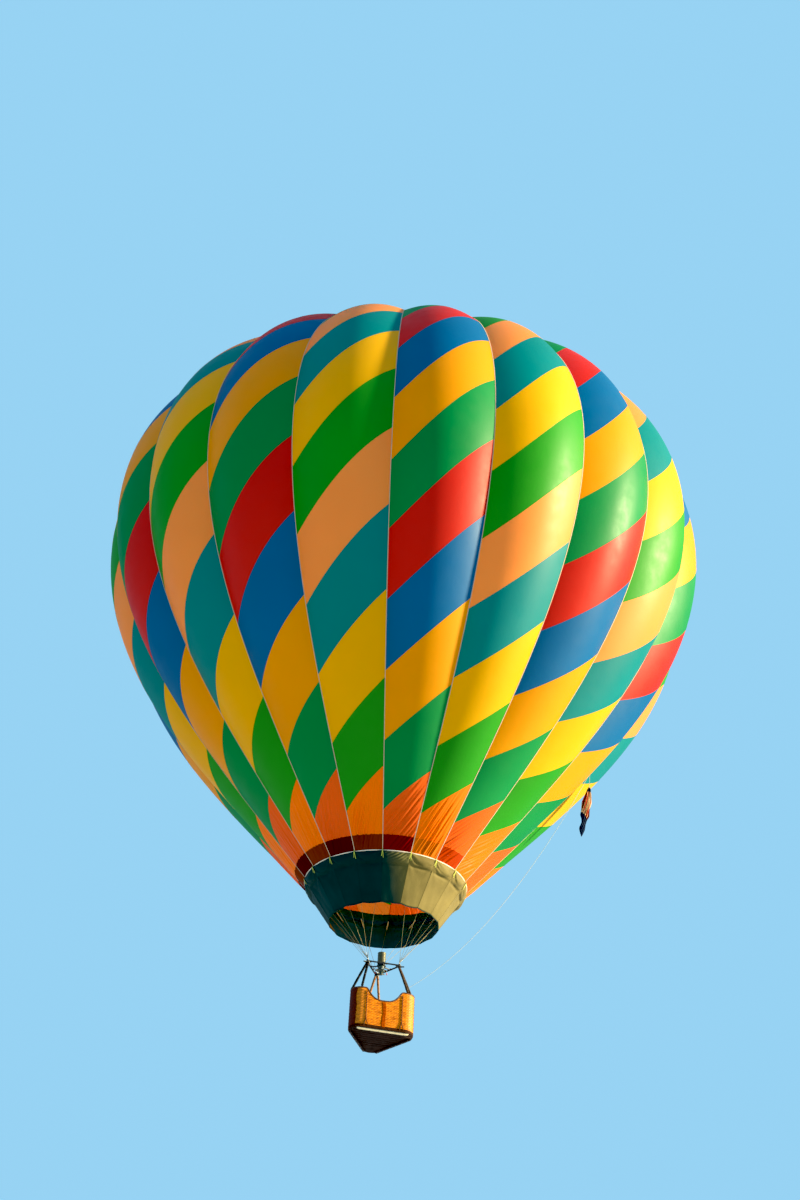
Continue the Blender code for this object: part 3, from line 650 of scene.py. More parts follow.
# Gold stand-in for the inside where sunlight through the mouth falls: painted sunlight.
SKIRT_INSIDE_PAINTED_SUNLIT = heavy_cloth("skirt_inside_painted_sunlight", (0.34, 0.17, 0.025))
SKIRT_LINING = heavy_cloth("skirt_inside_dark", (0.006, 0.105, 0.180))
SKIRT_CLOTHS = [SKIRT_DARK, SKIRT_PAINTED_SUNLIT, SKIRT_LINING, SKIRT_INSIDE_PAINTED_SUNLIT, SKIRT_PAINTED_TERMINATOR]
STEEL = metal("stainless_steel", (0.34, 0.34, 0.33), 0.36)
WIRE = metal("stay_wire", (0.26, 0.20, 0.09), 0.55, 0.3)
FRAME_PAINT = paint("frame_paint", (0.006, 0.012, 0.020), 0.55, (0.03, 0.035, 0.04))
BODY_PAINT = paint("burner_paint", (0.030, 0.055, 0.050), 0.38)
BRASS = metal("brass", (0.40, 0.27, 0.10), 0.38)
RED_KNOB = paint("valve_red", (0.45, 0.02, 0.015), 0.35, (0.2, 0.05, 0.04))
DIAL_WHITE = paint("dial_white", (0.75, 0.75, 0.72), 0.3, (0.6, 0.6, 0.58))
COIL_STEEL = heat_tinted("heat_tinted_steel")
WILLOW = willow("varnished_willow", (0.76, 0.215, 0.001), (0.33, 0.080, 0.001))
# Darker willow for the left corner, which turns from the light: painted shade.
SHADED_WILLOW = willow("willow_painted_shade", (0.66, 0.205, 0.010), (0.30, 0.092, 0.007))
RIM_LEATHER = leather("rim_leather", (0.075, 0.026, 0.016))
SUEDE = leather("suede_strip", (0.25, 0.042, 0.003), 0.85, 500.0, 0.1)
CORNER_HIDE = leather("corner_hide", (0.085, 0.016, 0.010), 0.65, 300.0, 0.15)
HIDE = leather("base_hide", (0.042, 0.014, 0.008), 0.8, 180.0, 0.1)
SLEEVE_BLACK = leather("sleeve_black", (0.007, 0.009, 0.013), 0.8, 420.0, 0.1)
SLEEVE_BROWN = leather("sleeve_brown", (0.045, 0.026, 0.017), 0.7, 420.0, 0.2)
SLEEVE_PALE = leather("sleeve_tan", (0.26, 0.13, 0.07), 0.7, 420.0, 0.2)
THONG = leather("thong", (0.055, 0.022, 0.013), 0.5, 600.0)
CREAM_WOOD = wood("runner_ash", (0.80, 0.66, 0.44), (0.62, 0.46, 0.26))
DARK_WOOD = wood("runner_dark", (0.060, 0.040, 0.042), (0.030, 0.020, 0.022), 0.8, 0.1)
BOARD_WOOD = wood("floor_board", (0.050, 0.030, 0.028), (0.022, 0.014, 0.015), 0.85, 0.06)
TANK_METAL = metal("cylinder_steel", (0.62, 0.63, 0.63), 0.32)
ROPE_WHITE = rope("line_white", (0.40, 0.44, 0.46))
ROPE_BROWN = rope("rope_brown", (0.055, 0.022, 0.012))
FLAG_MAROON = heavy_cloth("flag_maroon", (0.085, 0.005, 0.005), 0.15)
FLAG_CREAM = heavy_cloth("flag_cream", (0.58, 0.42, 0.24), 0.15)
FLAG_NAVY = heavy_cloth("flag_navy", (0.003, 0.014, 0.050), 0.08)
FLAG_RED = heavy_cloth("flag_red", (0.34, 0.030, 0.018), 0.15)


def paint_node(name, material):
    """Give a solid that stays a better material."""
    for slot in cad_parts[name].material_slots:
        slot.material = material


# Camera, lights and floor

def link(name, data):
    """Object with the given data, in the scene."""
    obj = bpy.data.objects.new(name, data)
    bpy.context.scene.collection.objects.link(obj)
    return obj


def add_camera():
    r = CAMERA_DISTANCE * math.cos(CAMERA_DROP)
    place = Vector(polar(CAMERA_ANGLE, r, -CAMERA_DISTANCE * math.sin(CAMERA_DROP)))
    data = bpy.data.cameras.new("camera")
    data.lens = CAMERA_LENS
    data.clip_end = 3 * FLOOR_RADIUS
    data.shift_x = -ORIGIN_FROM_CENTRE[0] / IMAGE_HEIGHT
    data.shift_y = ORIGIN_FROM_CENTRE[1] / IMAGE_HEIGHT
    camera = link("camera", data)
    camera.location = place
    turn = (-place).to_track_quat("-Z", "Y").to_matrix().to_4x4()
    camera.rotation_euler = (turn @ Matrix.Rotation(CAMERA_ROLL, 4, "Z")).to_euler()
    bpy.context.scene.camera = camera
    return place


def add_light():
    scene = bpy.context.scene
    view = scene.view_settings
    view.view_transform = "Standard"
    view.use_curve_mapping = True
    view.curve_mapping.black_level = BLACK_LEVEL
    view.curve_mapping.update()
    data = bpy.data.lights.new("sun", "SUN")
    data.energy = SUN_STRENGTH
    data.color = SUN_COLOUR
    data.angle = SUN_SIZE
    towards = Vector(polar(SUN_ANGLE, math.cos(SUN_HEIGHT), math.sin(SUN_HEIGHT)))
    link("sun", data).rotation_euler = towards.to_track_quat("Z", "Y").to_euler()
    world = bpy.data.worlds.new("sky")
    world.use_nodes = True
    background = world.node_tree.nodes["Background"]
    background.inputs["Color"].default_value = (*SKY_COLOUR, 1.0)
    background.inputs["Strength"].default_value = SKY_STRENGTH
    scene.world = world


def add_floor(camera_place):
    mesh = bpy.data.meshes.new("floor")
    bm = bmesh.new()
    bmesh.ops.create_circle(bm, cap_ends=True, segments=96, radius=FLOOR_RADIUS)
    bm.to_mesh(mesh)
    bm.free()
    floor = link("floor", mesh)
    floor.location = (0, 0, camera_place.z - FLOOR_DROP)
    look = Look("pale_floor", 0.9)
    look.colour(look.mix(look.noise(0.02, 3.0), (0.60, 0.62, 0.63), (0.66, 0.68, 0.69)))
    mesh.materials.append(look.material)


# Flag, its toggle and the slack line

def flag_anchor():
    """Centre of the toggle that sits in the valley of the load tape at the flag."""
    r, z, lean = tape_at(FLAG_SHARE * TAPE_LENGTH)
    out = TOGGLE_R * TOGGLE_SEAT
    return polar(FLAG_TAPE_ANGLE, r + math.cos(lean) * out, z - math.sin(lean) * out)


def upright_ends(corner_angle, side):
    """Top and foot of one upright's centre line, side -1 or 1 of its corner."""
    top = polar(corner_angle, FRAME_R, FRAME_Z + PLATE_LOW)
    top = top + beside(corner_angle) * (side * UPRIGHT_TOP_SPREAD)
    foot = polar(corner_angle, 2 * CORE, BASKET_TOP_Z + RIM_HEIGHT + GAP)
    foot = foot + polar(corner_angle + side * UPRIGHT_FOOT_ANGLE, CORNER_R - BASKET_WALL / 2, 0)
    slope = unit(top - foot)
    lift = UP * (UPRIGHT_R * math.sqrt(1 - slope[2] ** 2) + GAP)
    return top - lift, foot + lift


def line_points(start, end, t):
    """Points along the slack line, which hangs below the straight way between its ends."""
    t = np.asarray(t)[..., None]
    return start + (end - start) * t - UP * (LINE_SAG * 4 * t * (1 - t))


def make_flag_line():
    top, foot = upright_ends(CORNER_ANGLES[0], 1)
    tie = top + (foot - top) * LINE_TIE_SHARE
    anchor = flag_anchor()
    first = unit(line_points(anchor, tie, 0.02) - anchor)
    last = unit(line_points(anchor, tie, 0.98) - tie)
    start = anchor + first * TOGGLE_R
    along = unit(foot - top) @ last
    end = tie + last * ((UPRIGHT_R + LINE_R * abs(along) + GAP) / math.sqrt(1 - along ** 2))
    path = line_points(start, end, np.linspace(0, 1, 6 * LINE_POINTS))
    line = Shape().tube(path, LINE_R).make("slack_line", [ROPE_WHITE])
    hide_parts("flag_line")


def make_flag():
    """Furled flag: pleats of striped cloth over a plain dark end, hanging from a halyard."""
    anchor = flag_anchor()
    shape = Shape()
    shoulder = anchor[2] - TOGGLE_R - FLAG_LEAD
    rows, columns, pleats = 96, 150, 9
    t = np.linspace(0, 1, rows + 1)[:, None]
    turn = np.linspace(0, 1, columns + 1)[None, :] * math.tau * 0.98
    spread = np.interp(t, [0, 0.05, 0.14, 0.32, 0.46, 0.60, 0.68, 0.76, 0.88, 0.96, 1.0],
                       [0.12, 0.38, 0.62, 1.0, 0.86, 0.92, 0.58, 0.42, 0.52, 0.42, 0.24])
    wave = np.sin(pleats * turn + 4.0 * t + 1.3 * np.sin(6.0 * t))
    wave = wave + 0.4 * np.sin((pleats + 4) * turn - 7.0 * t)
    reach = spread * (0.70 + 0.21 * wave)
    twist = turn + 0.5 * np.sin(5 * t)
    sway = -FLAG_LEAN * t + 0.018 * np.sin(11 * t) * t
    drop = FLAG_LENGTH * t - 0.09 * t ** 3 * (1 + np.cos(turn + 0.8))
    x = anchor[0] + FLAG_HALF_WIDTH * reach * np.sin(twist) + sway
    y = anchor[1] - FLAG_HALF_DEPTH * reach * np.cos(twist)
    points = np.stack([x, y, shoulder - drop], -1)
    stripe = (np.arange(columns) / columns * 15 + 2.5 * t[:-1]).astype(int) % 4
    navy = (t[:-1] > 0.60 + 0.07 * np.sin(twist[:-1, :-1])) | (t[:-1] < 0.10)
    slots = np.where(navy, 2, np.array([0, 1, 4, 1])[stripe])
    uv = np.stack(np.broadcast_arrays(turn * 0.15, -drop), -1)
    shape.grid(points[::-1], slots[::-1].ravel(), uv=uv[::-1])
    knot = np.array([anchor[0], anchor[1], shoulder - 0.03])
    top = anchor - UP * (TOGGLE_R * 0.8)
    shape.rod(top, knot - top, 0.006, slot=3)
    for k in range(3):
        ring = ellipse(knot + UP * (0.011 * k), np.array([0.017, 0, 0]), np.array([0, 0.017, 0]), 24)
        shape.tube(ring, 0.0055, slot=3, loop=True)
    cloths = [FLAG_MAROON, FLAG_CREAM, FLAG_NAVY, ROPE_WHITE, FLAG_RED]
    flag = shape.make("furled_flag", cloths, slot_name="flag_fabric")
    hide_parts("flag")
    paint_node("flag_toggle", STEEL)


# Envelope

def wrinkles(number, u, s, chord):
    """Relief of the slack cloth near the mouth: long folds that fade out at the first seam."""
    numbers = random.Random(100 + number)
    calm = (numbers.uniform(0.8, 1.3), numbers.uniform(0.08, 0.30))
    strength, lean = WRINKLED_GORES.get(number, calm)
    along = s - SCORCH_BAND
    across = (u - 0.5) * chord - lean * along
    relief = np.zeros_like(across)
    for wavelength, share in ((0.21, 0.45), (0.125, 0.60), (0.078, 0.45), (0.052, 0.22)):
        turn = numbers.uniform(0, math.tau)
        bend = 0.9 * np.sin(2.3 * along + turn)
        relief += share * np.sin(math.tau * across / wavelength + turn + bend)
    patches = 0.7 + 0.3 * np.sin(5.0 * (u - 0.5) * chord + numbers.uniform(0, math.tau))
    low, high = seam_lengths(0)
    top = low + (high - low) * u
    fade = np.clip((top - s) / (top - SCORCH_BAND), 0, 1) ** 0.6 * (1 - np.exp(-s / 0.08))
    edge = np.sqrt(np.clip(np.sin(np.pi * u), 0, 1))
    return WRINKLE_HEIGHT * strength * relief * patches * fade * edge


def cloth_points(number, u, s):
    """Points of a gore's folded cloth at shares u across it and lengths s up its tapes, with the
    way out and the gore's width there."""
    angle = GORE_ANGLE * number
    r, z, lean = tape_at(s)
    flat, chord = flat_panel(angle - GORE_ANGLE / 2, r, z, u)
    normal = unit(polar(angle, np.cos(lean), -np.sin(lean) * np.minimum(1.0, s / LEVEL_RIM)))
    depth = bulge(s) * chord * 4 * u * (1 - u) + wrinkles(number, u, s, chord)
    return flat + normal * depth[..., None], normal, chord


def panel_edges():
    """The levels between the panels of a gore, bottom to top, as (left, right) lengths."""
    edges = [(0.0, 0.0), (SCORCH_BAND, SCORCH_BAND)]
    return np.array(edges + [seam_lengths(number) for number in range(PANELS)])


def make_gore(number):
    """Cloth of one gore: a double band at the mouth, a slack bottom panel, then slanting panels."""
    edges = panel_edges()
    counts = [BAND_ROWS, BOTTOM_ROWS] + [PANEL_ROWS] * (PANELS - 1)
    levels = [low + (high - low) * i / count
              for low, high, count in zip(edges, edges[1:], counts) for i in range(count)]
    levels = np.array(levels + [edges[-1]])
    kinds = [0, 1] + [2 + k % 4 for k in range(PANELS - 1)]
    slots = np.repeat(kinds, np.array(counts) * CLOTH_COLUMNS)
    u = np.broadcast_to(np.linspace(0, 1, CLOTH_COLUMNS + 1), (len(levels), CLOTH_COLUMNS + 1))
    s = np.minimum(levels[:, :1] + (levels[:, 1:] - levels[:, :1]) * u, TAPE_LENGTH)
    points, _, chord = cloth_points(number, u, s)
    shape = Shape().grid(points, slots, uv=np.stack([(u - 0.5) * chord, s], -1))
    light = number % 2
    cloth = LIGHT_CLOTH if light else DARK_CLOTH
    # On the gores the sun reaches, the band takes a lighter cloth: painted sunlight.
    band = LIT_BAND_CLOTHS.get(number, BROWN_BAND if light else MAROON_BAND)
    if number in SUNLIT_BANDS:
        band = cloth[0]
    if number in CORAL_GORES:
        cloth = [CORAL_LIGHT if light else CORAL_DARK] + cloth[1:]
    gore = shape.make("gore_cloth_%02d" % (number + 1), [band] + cloth, smooth=180, weld=0.0001,
                      slot_name="fabric_%s_gores" % ("light" if light else "dark"))
    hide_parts("gore_%02d" % (number + 1))


def make_seams():
    """Felled seams between the panels, a double strip of the upper panel's cloth."""
    u_line = np.linspace(0.006, 0.994, 33)
    half = SEAM_WIDTH / 2
    lift = np.array([0.0012, 0.0045, 0.0012])[:, None, None]
    for light, (kind, cloth) in enumerate((("dark", DARK_CLOTH), ("light", LIGHT_CLOTH))):
        shape = Shape()
        for number in range(light, GORES, 2):
            for k, (left, right) in enumerate(panel_edges()[1:-1]):
                middle = left + (right - left) * u_line
                s = np.minimum([middle - half, middle, middle + half], TAPE_LENGTH - 0.001)
                u = np.broadcast_to(u_line, s.shape)
                points, normal, chord = cloth_points(number, u, s)
                slot = 0 if k == 0 else 1 + (k - 1) % 4
                shape.grid(points + normal * lift, slot, uv=np.stack([(u - 0.5) * chord, s], -1))
        shape.make("panel_seams_" + kind, cloth, smooth=180, weld=0.00005)


def make_load_tapes():
    """Webbing down the valley between each two gores, from the crown to the mouth."""
    shape = Shape()
    s = np.linspace(0, TAPE_LENGTH - 0.25, 150)
    r, z, lean = tape_at(s)
    lift = LOAD_TAPE_WIDTH / 2 * 4 * bulge(s) + 0.002
    for angle in TAPE_ANGLES:
        normal = polar(angle, np.cos(lean), -np.sin(lean))
        path = polar(angle, r, z) + normal * lift[:, None]
        shape.sweep(path, normal, slab(LOAD_TAPE_WIDTH, 0.0025))
    shape.make("load_tapes", [TAPE_CLOTH], slot_name="webbing")


def make_mouth_hem():
    """Rolled hem of the mouth, with a lashing round it at each load tape."""
    u = np.linspace(0, 1, 13)[:-1]
    path = np.concatenate([cloth_points(number, u, np.zeros_like(u))[0] for number in range(GORES)])
    path[:, 2] -= 0.014
    shape = Shape().tube(path, 0.012, 12, loop=True, up=UP)
    shape.tube(path - UP * 0.015, 0.005, loop=True, up=UP)
    hem = shape.make("mouth_hem", [HEM_CLOTH], slot_name="webbing")
    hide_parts("mouth_ring")
    straps = Shape()
    for angle in TAPE_ANGLES:
        slope = unit(polar(angle, SKIRT_BOTTOM_R - SKIRT_TOP_R, SKIRT_BOTTOM_Z - SKIRT_TOP_Z))
        out = unit(np.cross(slope, beside(angle)))
        high = polar(angle, MOUTH_R + 0.030, MOUTH_Z + 0.02)
        for side, reach in ((-1, 0.15), (1, 0.19)):
            across = beside(angle) * side
            bend = polar(angle, SKIRT_TOP_R + 0.012, SKIRT_TOP_Z - 0.02) + across * 0.004
            low = bend + slope * reach + across * 0.022 + out * 0.018
            path = np.concatenate([np.linspace(high, bend, 4)[:-1], np.linspace(bend, low, 9)])
            straps.sweep(path, out, slab(0.016, 0.002))
    straps.make("mouth_straps", [YELLOW_STRAP])


def make_facing():
    """Dark lining inside the mouth, sewn behind the double band and down past the hem: partly a real
    lining, partly a dark sheet standing in for the shade inside the mouth (painted shade).
    """
    u_line = np.linspace(0, 1, CLOTH_COLUMNS + 1)[:-1]
    u, up = np.meshgrid(u_line, np.linspace(0, FACING_HEIGHT, 13))
    parts = []
    for number in range(GORES):
        points, normal, _ = cloth_points(number, u, up)
        points = points - normal * FACING_INSET
        low = points[:1].copy()
        low[..., 2] = 0
        low = unit(low) * FACING_LOW_R + UP * FACING_LOW_Z
        parts.append(np.concatenate([low, points]))
    shape = Shape().grid(np.concatenate(parts, 1), wrap=True)
    facing = shape.make("mouth_facing", [SKIRT_LINING], smooth=180)


# Crown

def crown_line(from_edge, depth):
    """Point (r, z) beside the crown opening's edge, from_edge towards the axis and depth inside."""
    edge = TAPE[-1, :2]
    along = unit(edge - np.array(tape_at(TAPE_LENGTH * 15 / 16)[:2]))
    return edge + along * from_edge + np.array([-along[1], along[0]]) * depth


def dome_line(share, depth):
    """Points (r, z) on the dome over the crown opening, from its edge (0) to the axis (1)."""
    r, z, lean = TAPE[-1]
    radius = r / math.cos(lean)
    angle = math.asin(r / radius)
    turn = angle * (1 - share)
    centre_z = z - radius * math.cos(angle)
    return np.stack([np.sin(turn), np.cos(turn)], -1) * (radius - depth) + [0, centre_z]


def make_vent():
    """Vent: a shallow dome of cloth, hemmed, with a soft fold towards each load tape."""
    columns = GORES * 12
    profile = np.vstack([crown_line(BAND_OVERHANG - VENT_SEAT, VENT_DEPTH),
                         dome_line(np.linspace(0, 1, 27), VENT_DEPTH)])
    fold = np.abs(np.cos(GORES / 2 * (turns(columns) - GORE_ANGLE / 2))) ** 6
    height = 0.012 * np.sin(np.pi * np.linspace(0, 1, len(profile))) ** 0.6
    points = polar(turns(columns), profile[:, :1], profile[:, 1:] - height[:, None] * fold)
    shape = Shape().grid(points, wrap=True, uv=points[..., :2])
    vent = shape.make("vent_cloth", [VENT_CLOTH], "vent", smooth=180, weld=0.0001,
                      slot_name="fabric_vent")
    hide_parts("vent_panel")
    trim = Shape()
    above = points + UP * 0.001
    for width, row in ((0.030, 1), (0.018, 8), (0.018, 15)):
        trim.sweep(above[row], UP, slab(width, 0.0015), loop=True)
    for column in range(6, columns, 12):
        trim.sweep(above[1:-2, column], UP, slab(0.016, 0.0015))
    trim.make("vent_tapes", [TAPE_CLOTH], "vent")


def make_crown():
    """Load tapes over the vent, each looped round the steel crown ring and sewn back."""
    shape = Shape()
    low = -WEB_LIFT
    profile = np.vstack([crown_line(-0.30 + 0.10 * k, low) for k in range(3)]
                        + [dome_line(np.linspace(0, 0.945, 24), low)])
    for angle in TAPE_ANGLES:
        path = polar(angle, *profile.T)
        shape.sweep(path, UP, slab(0.032, 0.0045))
        shape.sweep(path[-7:-1] + UP * 0.0045, UP, slab(0.030, 0.004))
    tapes = shape.make("crown_tapes", [TAPE_CLOTH], slot_name="webbing")
    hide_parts("crown_web")
    hub_z = dome_line(1.0, low)[1] + 0.006
    hub = Shape().tube(polar(turns(96), 0.150, hub_z), 0.014, 16, loop=True, up=UP)
    for angle in TAPE_ANGLES:
        loop = ellipse(polar(angle, 0.150, hub_z), away(angle) * 0.0175, UP * 0.0175, 20)
        hub.sweep(loop, beside(angle), slab(0.003, 0.030) - [0, 0.015], slot=1, loop=True)
    hub.make("crown_ring", [STEEL, TAPE_CLOTH])
    paint_node("crown_band", TAPE_CLOTH)


# Skirt

def skirt_surface(u, v, panel, inset):
    """Points of one skirt panel at shares u across and v up, inset metres inside."""
    left_angle = GORE_ANGLE * (panel - 0.5)
    rise = SKIRT_TOP_Z - SKIRT_BOTTOM_Z
    flare = SKIRT_TOP_R - SKIRT_BOTTOM_R
    flat, chord = flat_panel(left_angle, SKIRT_BOTTOM_R + flare * v, SKIRT_BOTTOM_Z + rise * v, u)
    length = math.hypot(flare, rise)
    normal = polar(left_angle + GORE_ANGLE / 2, rise / length, -flare / length)
    down = (1 - v) * length
    drift = random.Random(300 + panel).uniform(0, math.tau)
    arch = np.sin(math.pi * u) ** 0.7
    puff = 0.075 * arch * np.sin(math.pi * np.clip(down / SKIRT_ROLL, 0, 1)) ** 0.8
    puff = puff - 0.016 * arch * np.exp(-((down - SKIRT_ROLL * 1.08) / 0.035) ** 2)
    creases = 0.0
    for side, shift in ((u, 0), (1 - u, 1)):
        for start, size, height in ((0.0, 0.10, 0.012), (0.20, 0.14, 0.007)):
            reach = np.hypot(side * chord, down - start)
            turn = np.arctan2(down - start, side * chord)
            rays = np.cos(8 * turn + 2.4 * panel + shift) * np.clip(np.cos(turn - 0.8), 0, 1)
            creases = creases + height * rays * (reach / size) * np.exp(1 - reach / size)
    creases = creases * np.sin(math.pi * u) ** 0.5
    from_left = u * chord
    groove = 0.03 + 0.24 * (1 - np.exp(-from_left / 0.13))
    cut = np.exp(-((down - groove) / 0.022) ** 2) * np.exp(-(from_left / 0.26) ** 2)
    creases = creases - SKIRT_GROOVE * cut * np.clip(from_left / 0.03, 0, 1)
    if panel == TERMINATOR_PANEL:
        slant = down + 0.62 * from_left
        window = np.exp(-(down / 0.26) ** 4) * np.clip(down / 0.03, 0, 1) * arch
        ridges = np.sin(math.tau * slant / 0.085 + 0.8 * np.sin(9 * from_left))
        creases = creases + SKIRT_CRUMPLE * ridges * window
    free = np.clip((down - SKIRT_ROLL) / 0.4, 0, 1)
    sway = arch * free * (0.007 * np.sin(3.4 * u + 4.2 * down + drift)
                          + 0.002 * np.sin(13 * u - 5 * down + 2 * drift))
    points = flat + normal * (puff + creases + sway - inset)[..., None]
    front = np.clip(np.cos(left_angle + GORE_ANGLE * u), 0, 1)
    scallop = 0.020 * np.sin(math.pi * u) * (1 + math.sin(drift))
    points[..., 2] -= (1 - v) ** 2 * (SKIRT_DROOP + scallop) * front
    return points, down


def make_skirt():
    """Skirt cloth, double, puffed under the mouth where the tape ends pull it in."""
    rows = 64
    columns = 28
    v_line = 1 - np.linspace(1, 0, rows + 1) ** 1.6
    u, v = np.meshgrid(np.linspace(0, 1, columns + 1)[:-1], v_line)
    outer, inner, uvs = [], [], []
    for panel in range(GORES):
        points, down = skirt_surface(u, v, panel, 0.0)
        outer.append(points)
        inner.append(skirt_surface(u, v, panel, 0.006)[0])
        uvs.append(np.stack([(u - 0.5 + panel) * 0.6, -down], -1))
    outer, inner, uv = (np.concatenate(parts, 1) for parts in (outer, inner, uvs))
    # Outside, the panels towards the sun take the painted sunlit colour and the panel at the edge of the
    # light takes the painted terminator; inside, two panels take painted sunlight.
    outside = [1 if panel in SUNLIT_PANELS else 4 if panel == TERMINATOR_PANEL else 0
               for panel in range(GORES)]
    inside = [3 if panel in SUNLIT_INSIDE_PANELS else 2 for panel in range(GORES)]
    slots = np.repeat([outside] * (rows + 1) + [inside] * (rows + 1), columns, 1)
    shape = Shape().grid(np.concatenate([outer, inner[::-1]]), slots.ravel(), wrap=True, loop=True,
                         uv=np.concatenate([uv, uv[::-1]]))
    skirt = shape.make("skirt_cloth", SKIRT_CLOTHS, smooth=180, slot_name="fabric_skirt")
    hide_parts("skirt")
    trim = Shape().tube(outer[0] - UP * 0.004, 0.012, 10, loop=True, up=UP)
    for panel in range(GORES):
        out = polar(GORE_ANGLE * (panel - 0.5), 1, -0.7)
        seam = outer[:, panel * columns] + unit(out) * 0.001
        # Seams on the sunlit panels take the painted sunlit colour.
        trim.sweep(seam, out, slab(0.012, 0.002), slot=int(panel in SUNLIT_PANELS))
    hem = trim.make("skirt_hem", [SKIRT_DARK, SKIRT_PAINTED_SUNLIT], smooth=60)


# Stays and load frame

def make_stays(number, corner_angle):
    """Six wires from one frame corner, each with a ferrule and a strap at the mouth."""
    foot = polar(corner_angle, FRAME_R, FRAME_Z + STAY_FOOT + GAP)
    gather = foot + UP * 0.040
    shape = Shape()
    for k in range(STAY_SPREAD):
        angle = corner_angle - BASKET_TURN + GORE_ANGLE * (k - (STAY_SPREAD - 1) / 2)
        end = polar(angle, STAY_RING_R, SKIRT_TOP_Z - 0.004)
        way = unit(end - gather)
        over = unit(np.cross(way, beside(angle)))
        shape.rod(gather + way * 0.02, end - gather - way * 0.02, 0.0042)
        for low, reach, radius in ((0.05, 0.06, 0.0085), (0.13, 0.03, 0.0075)):
            shape.rod(gather + way * low, way * reach, radius, 10, slot=1)
        for lift in (-0.008, 0.004):
            strap = np.array([end - way * 0.45, end + way * 0.01]) + over * lift
            shape.sweep(strap, over, slab(0.028, 0.004), slot=2)
        eye = ellipse(end - way * 0.47, way * 0.0286, beside(angle) * 0.022, 18)
        shape.tube(eye, 0.0045, slot=1, loop=True, up=over)
    across = beside(corner_angle)
    shackle = ellipse(foot + UP * 0.036, across * 0.021, UP * 0.032, 40)
    shape.tube(shackle, 0.006, 12, slot=1, loop=True, up=away(corner_angle))
    shape.rod(foot + across * 0.021 + UP * 0.024, UP * 0.024, 0.009, 12, slot=1)
    shape.rod(foot - across * 0.030 + UP * 0.006, across * 0.060, 0.0065, 12, slot=1)
    stays = shape.make("stay_wires_%d" % number, [WIRE, STEEL, CREAM_STRAP], slot_name="stay_steel")
    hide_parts("stays_%d" % number)


def make_frame_trim():
    """Bolts through the corner plates, and collars round the tubes beside them."""
    shape = Shape()
    head = [(0.011, 0), (0.011, 0.002), (0.0085, 0.003), (0.0085, 0.012), (0.0075, 0.014), (0, 0.014)]
    tail = [(0, 0), (0.007, 0), (0.0085, 0.002), (0.0085, 0.010)]
    for angle in CORNER_ANGLES:
        for k in range(6):
            turn = angle + math.radians(30 + 60 * k)
            place = polar(angle, FRAME_R, FRAME_Z - 0.014) + polar(turn, 0.048, 0)
            shape.turned(head, 6, place)
            shape.turned(tail, 6, place - UP * 0.036)
        for side in (-1, 1):
            along = away(angle + side * math.radians(150))
            start = polar(angle, FRAME_R, FRAME_Z) + along * 0.085
            shape.rod(start, along * 0.022, 0.0255, 20, slot=1)
            shape.rod(start + along * 0.26, along * 0.02, 0.0235, 20, slot=2)
    shape.make("frame_trim", [STEEL, FRAME_PAINT, ROPE_BROWN], weld=0.00002)
    paint_node("load_frame", FRAME_PAINT)


# Burner

def make_can():
    """Can with a coil, jets and a ring inside it, and rivets round its foot."""
    low = FRAME_Z + COIL_LOW + GAP
    high = FRAME_Z + COIL_TOP
    wall = COIL_R - 0.004
    profile = [(0.0, low)]
    for t in np.linspace(0, 1, 49):
        bead = 0.0035 * max(0.0, math.cos(math.tau * 4 * t)) ** 8
        profile.append((wall + bead, low + (high - low - 0.006) * t))
    profile += [(wall + 0.005 * math.cos(a), high - 0.004 + 0.005 * math.sin(a))
                for a in np.linspace(-0.6, math.pi + 0.6, 9)]
    floor = low + 0.012
    profile += [(COIL_R - 0.010, high - 0.012), (COIL_R - 0.010, floor), (0.02, floor), (0.0, floor)]
    can = Shape().turned(profile, 72)
    for angle in turns(24):
        can.rod(polar(angle, COIL_R - 0.0035, low + 0.020), away(angle) * 0.0035, 0.0035)
    wind = np.linspace(0, 7.6 * math.tau, 7 * 48)
    can.tube(polar(wind, 0.082, np.linspace(low + 0.035, high - 0.030, len(wind))), 0.0125, 10)
    for angle in turns(12):
        can.rod(polar(angle, 0.040, floor), UP * 0.045, 0.006, slot=1)
    can.tube(polar(turns(48), 0.040, low + 0.060), 0.0075, 10, slot=1, loop=True, up=UP)
    can = can.make("burner_can", [COIL_STEEL, BRASS], weld=0.00002, slot_name="coil_steel")
    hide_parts("burner_coil")


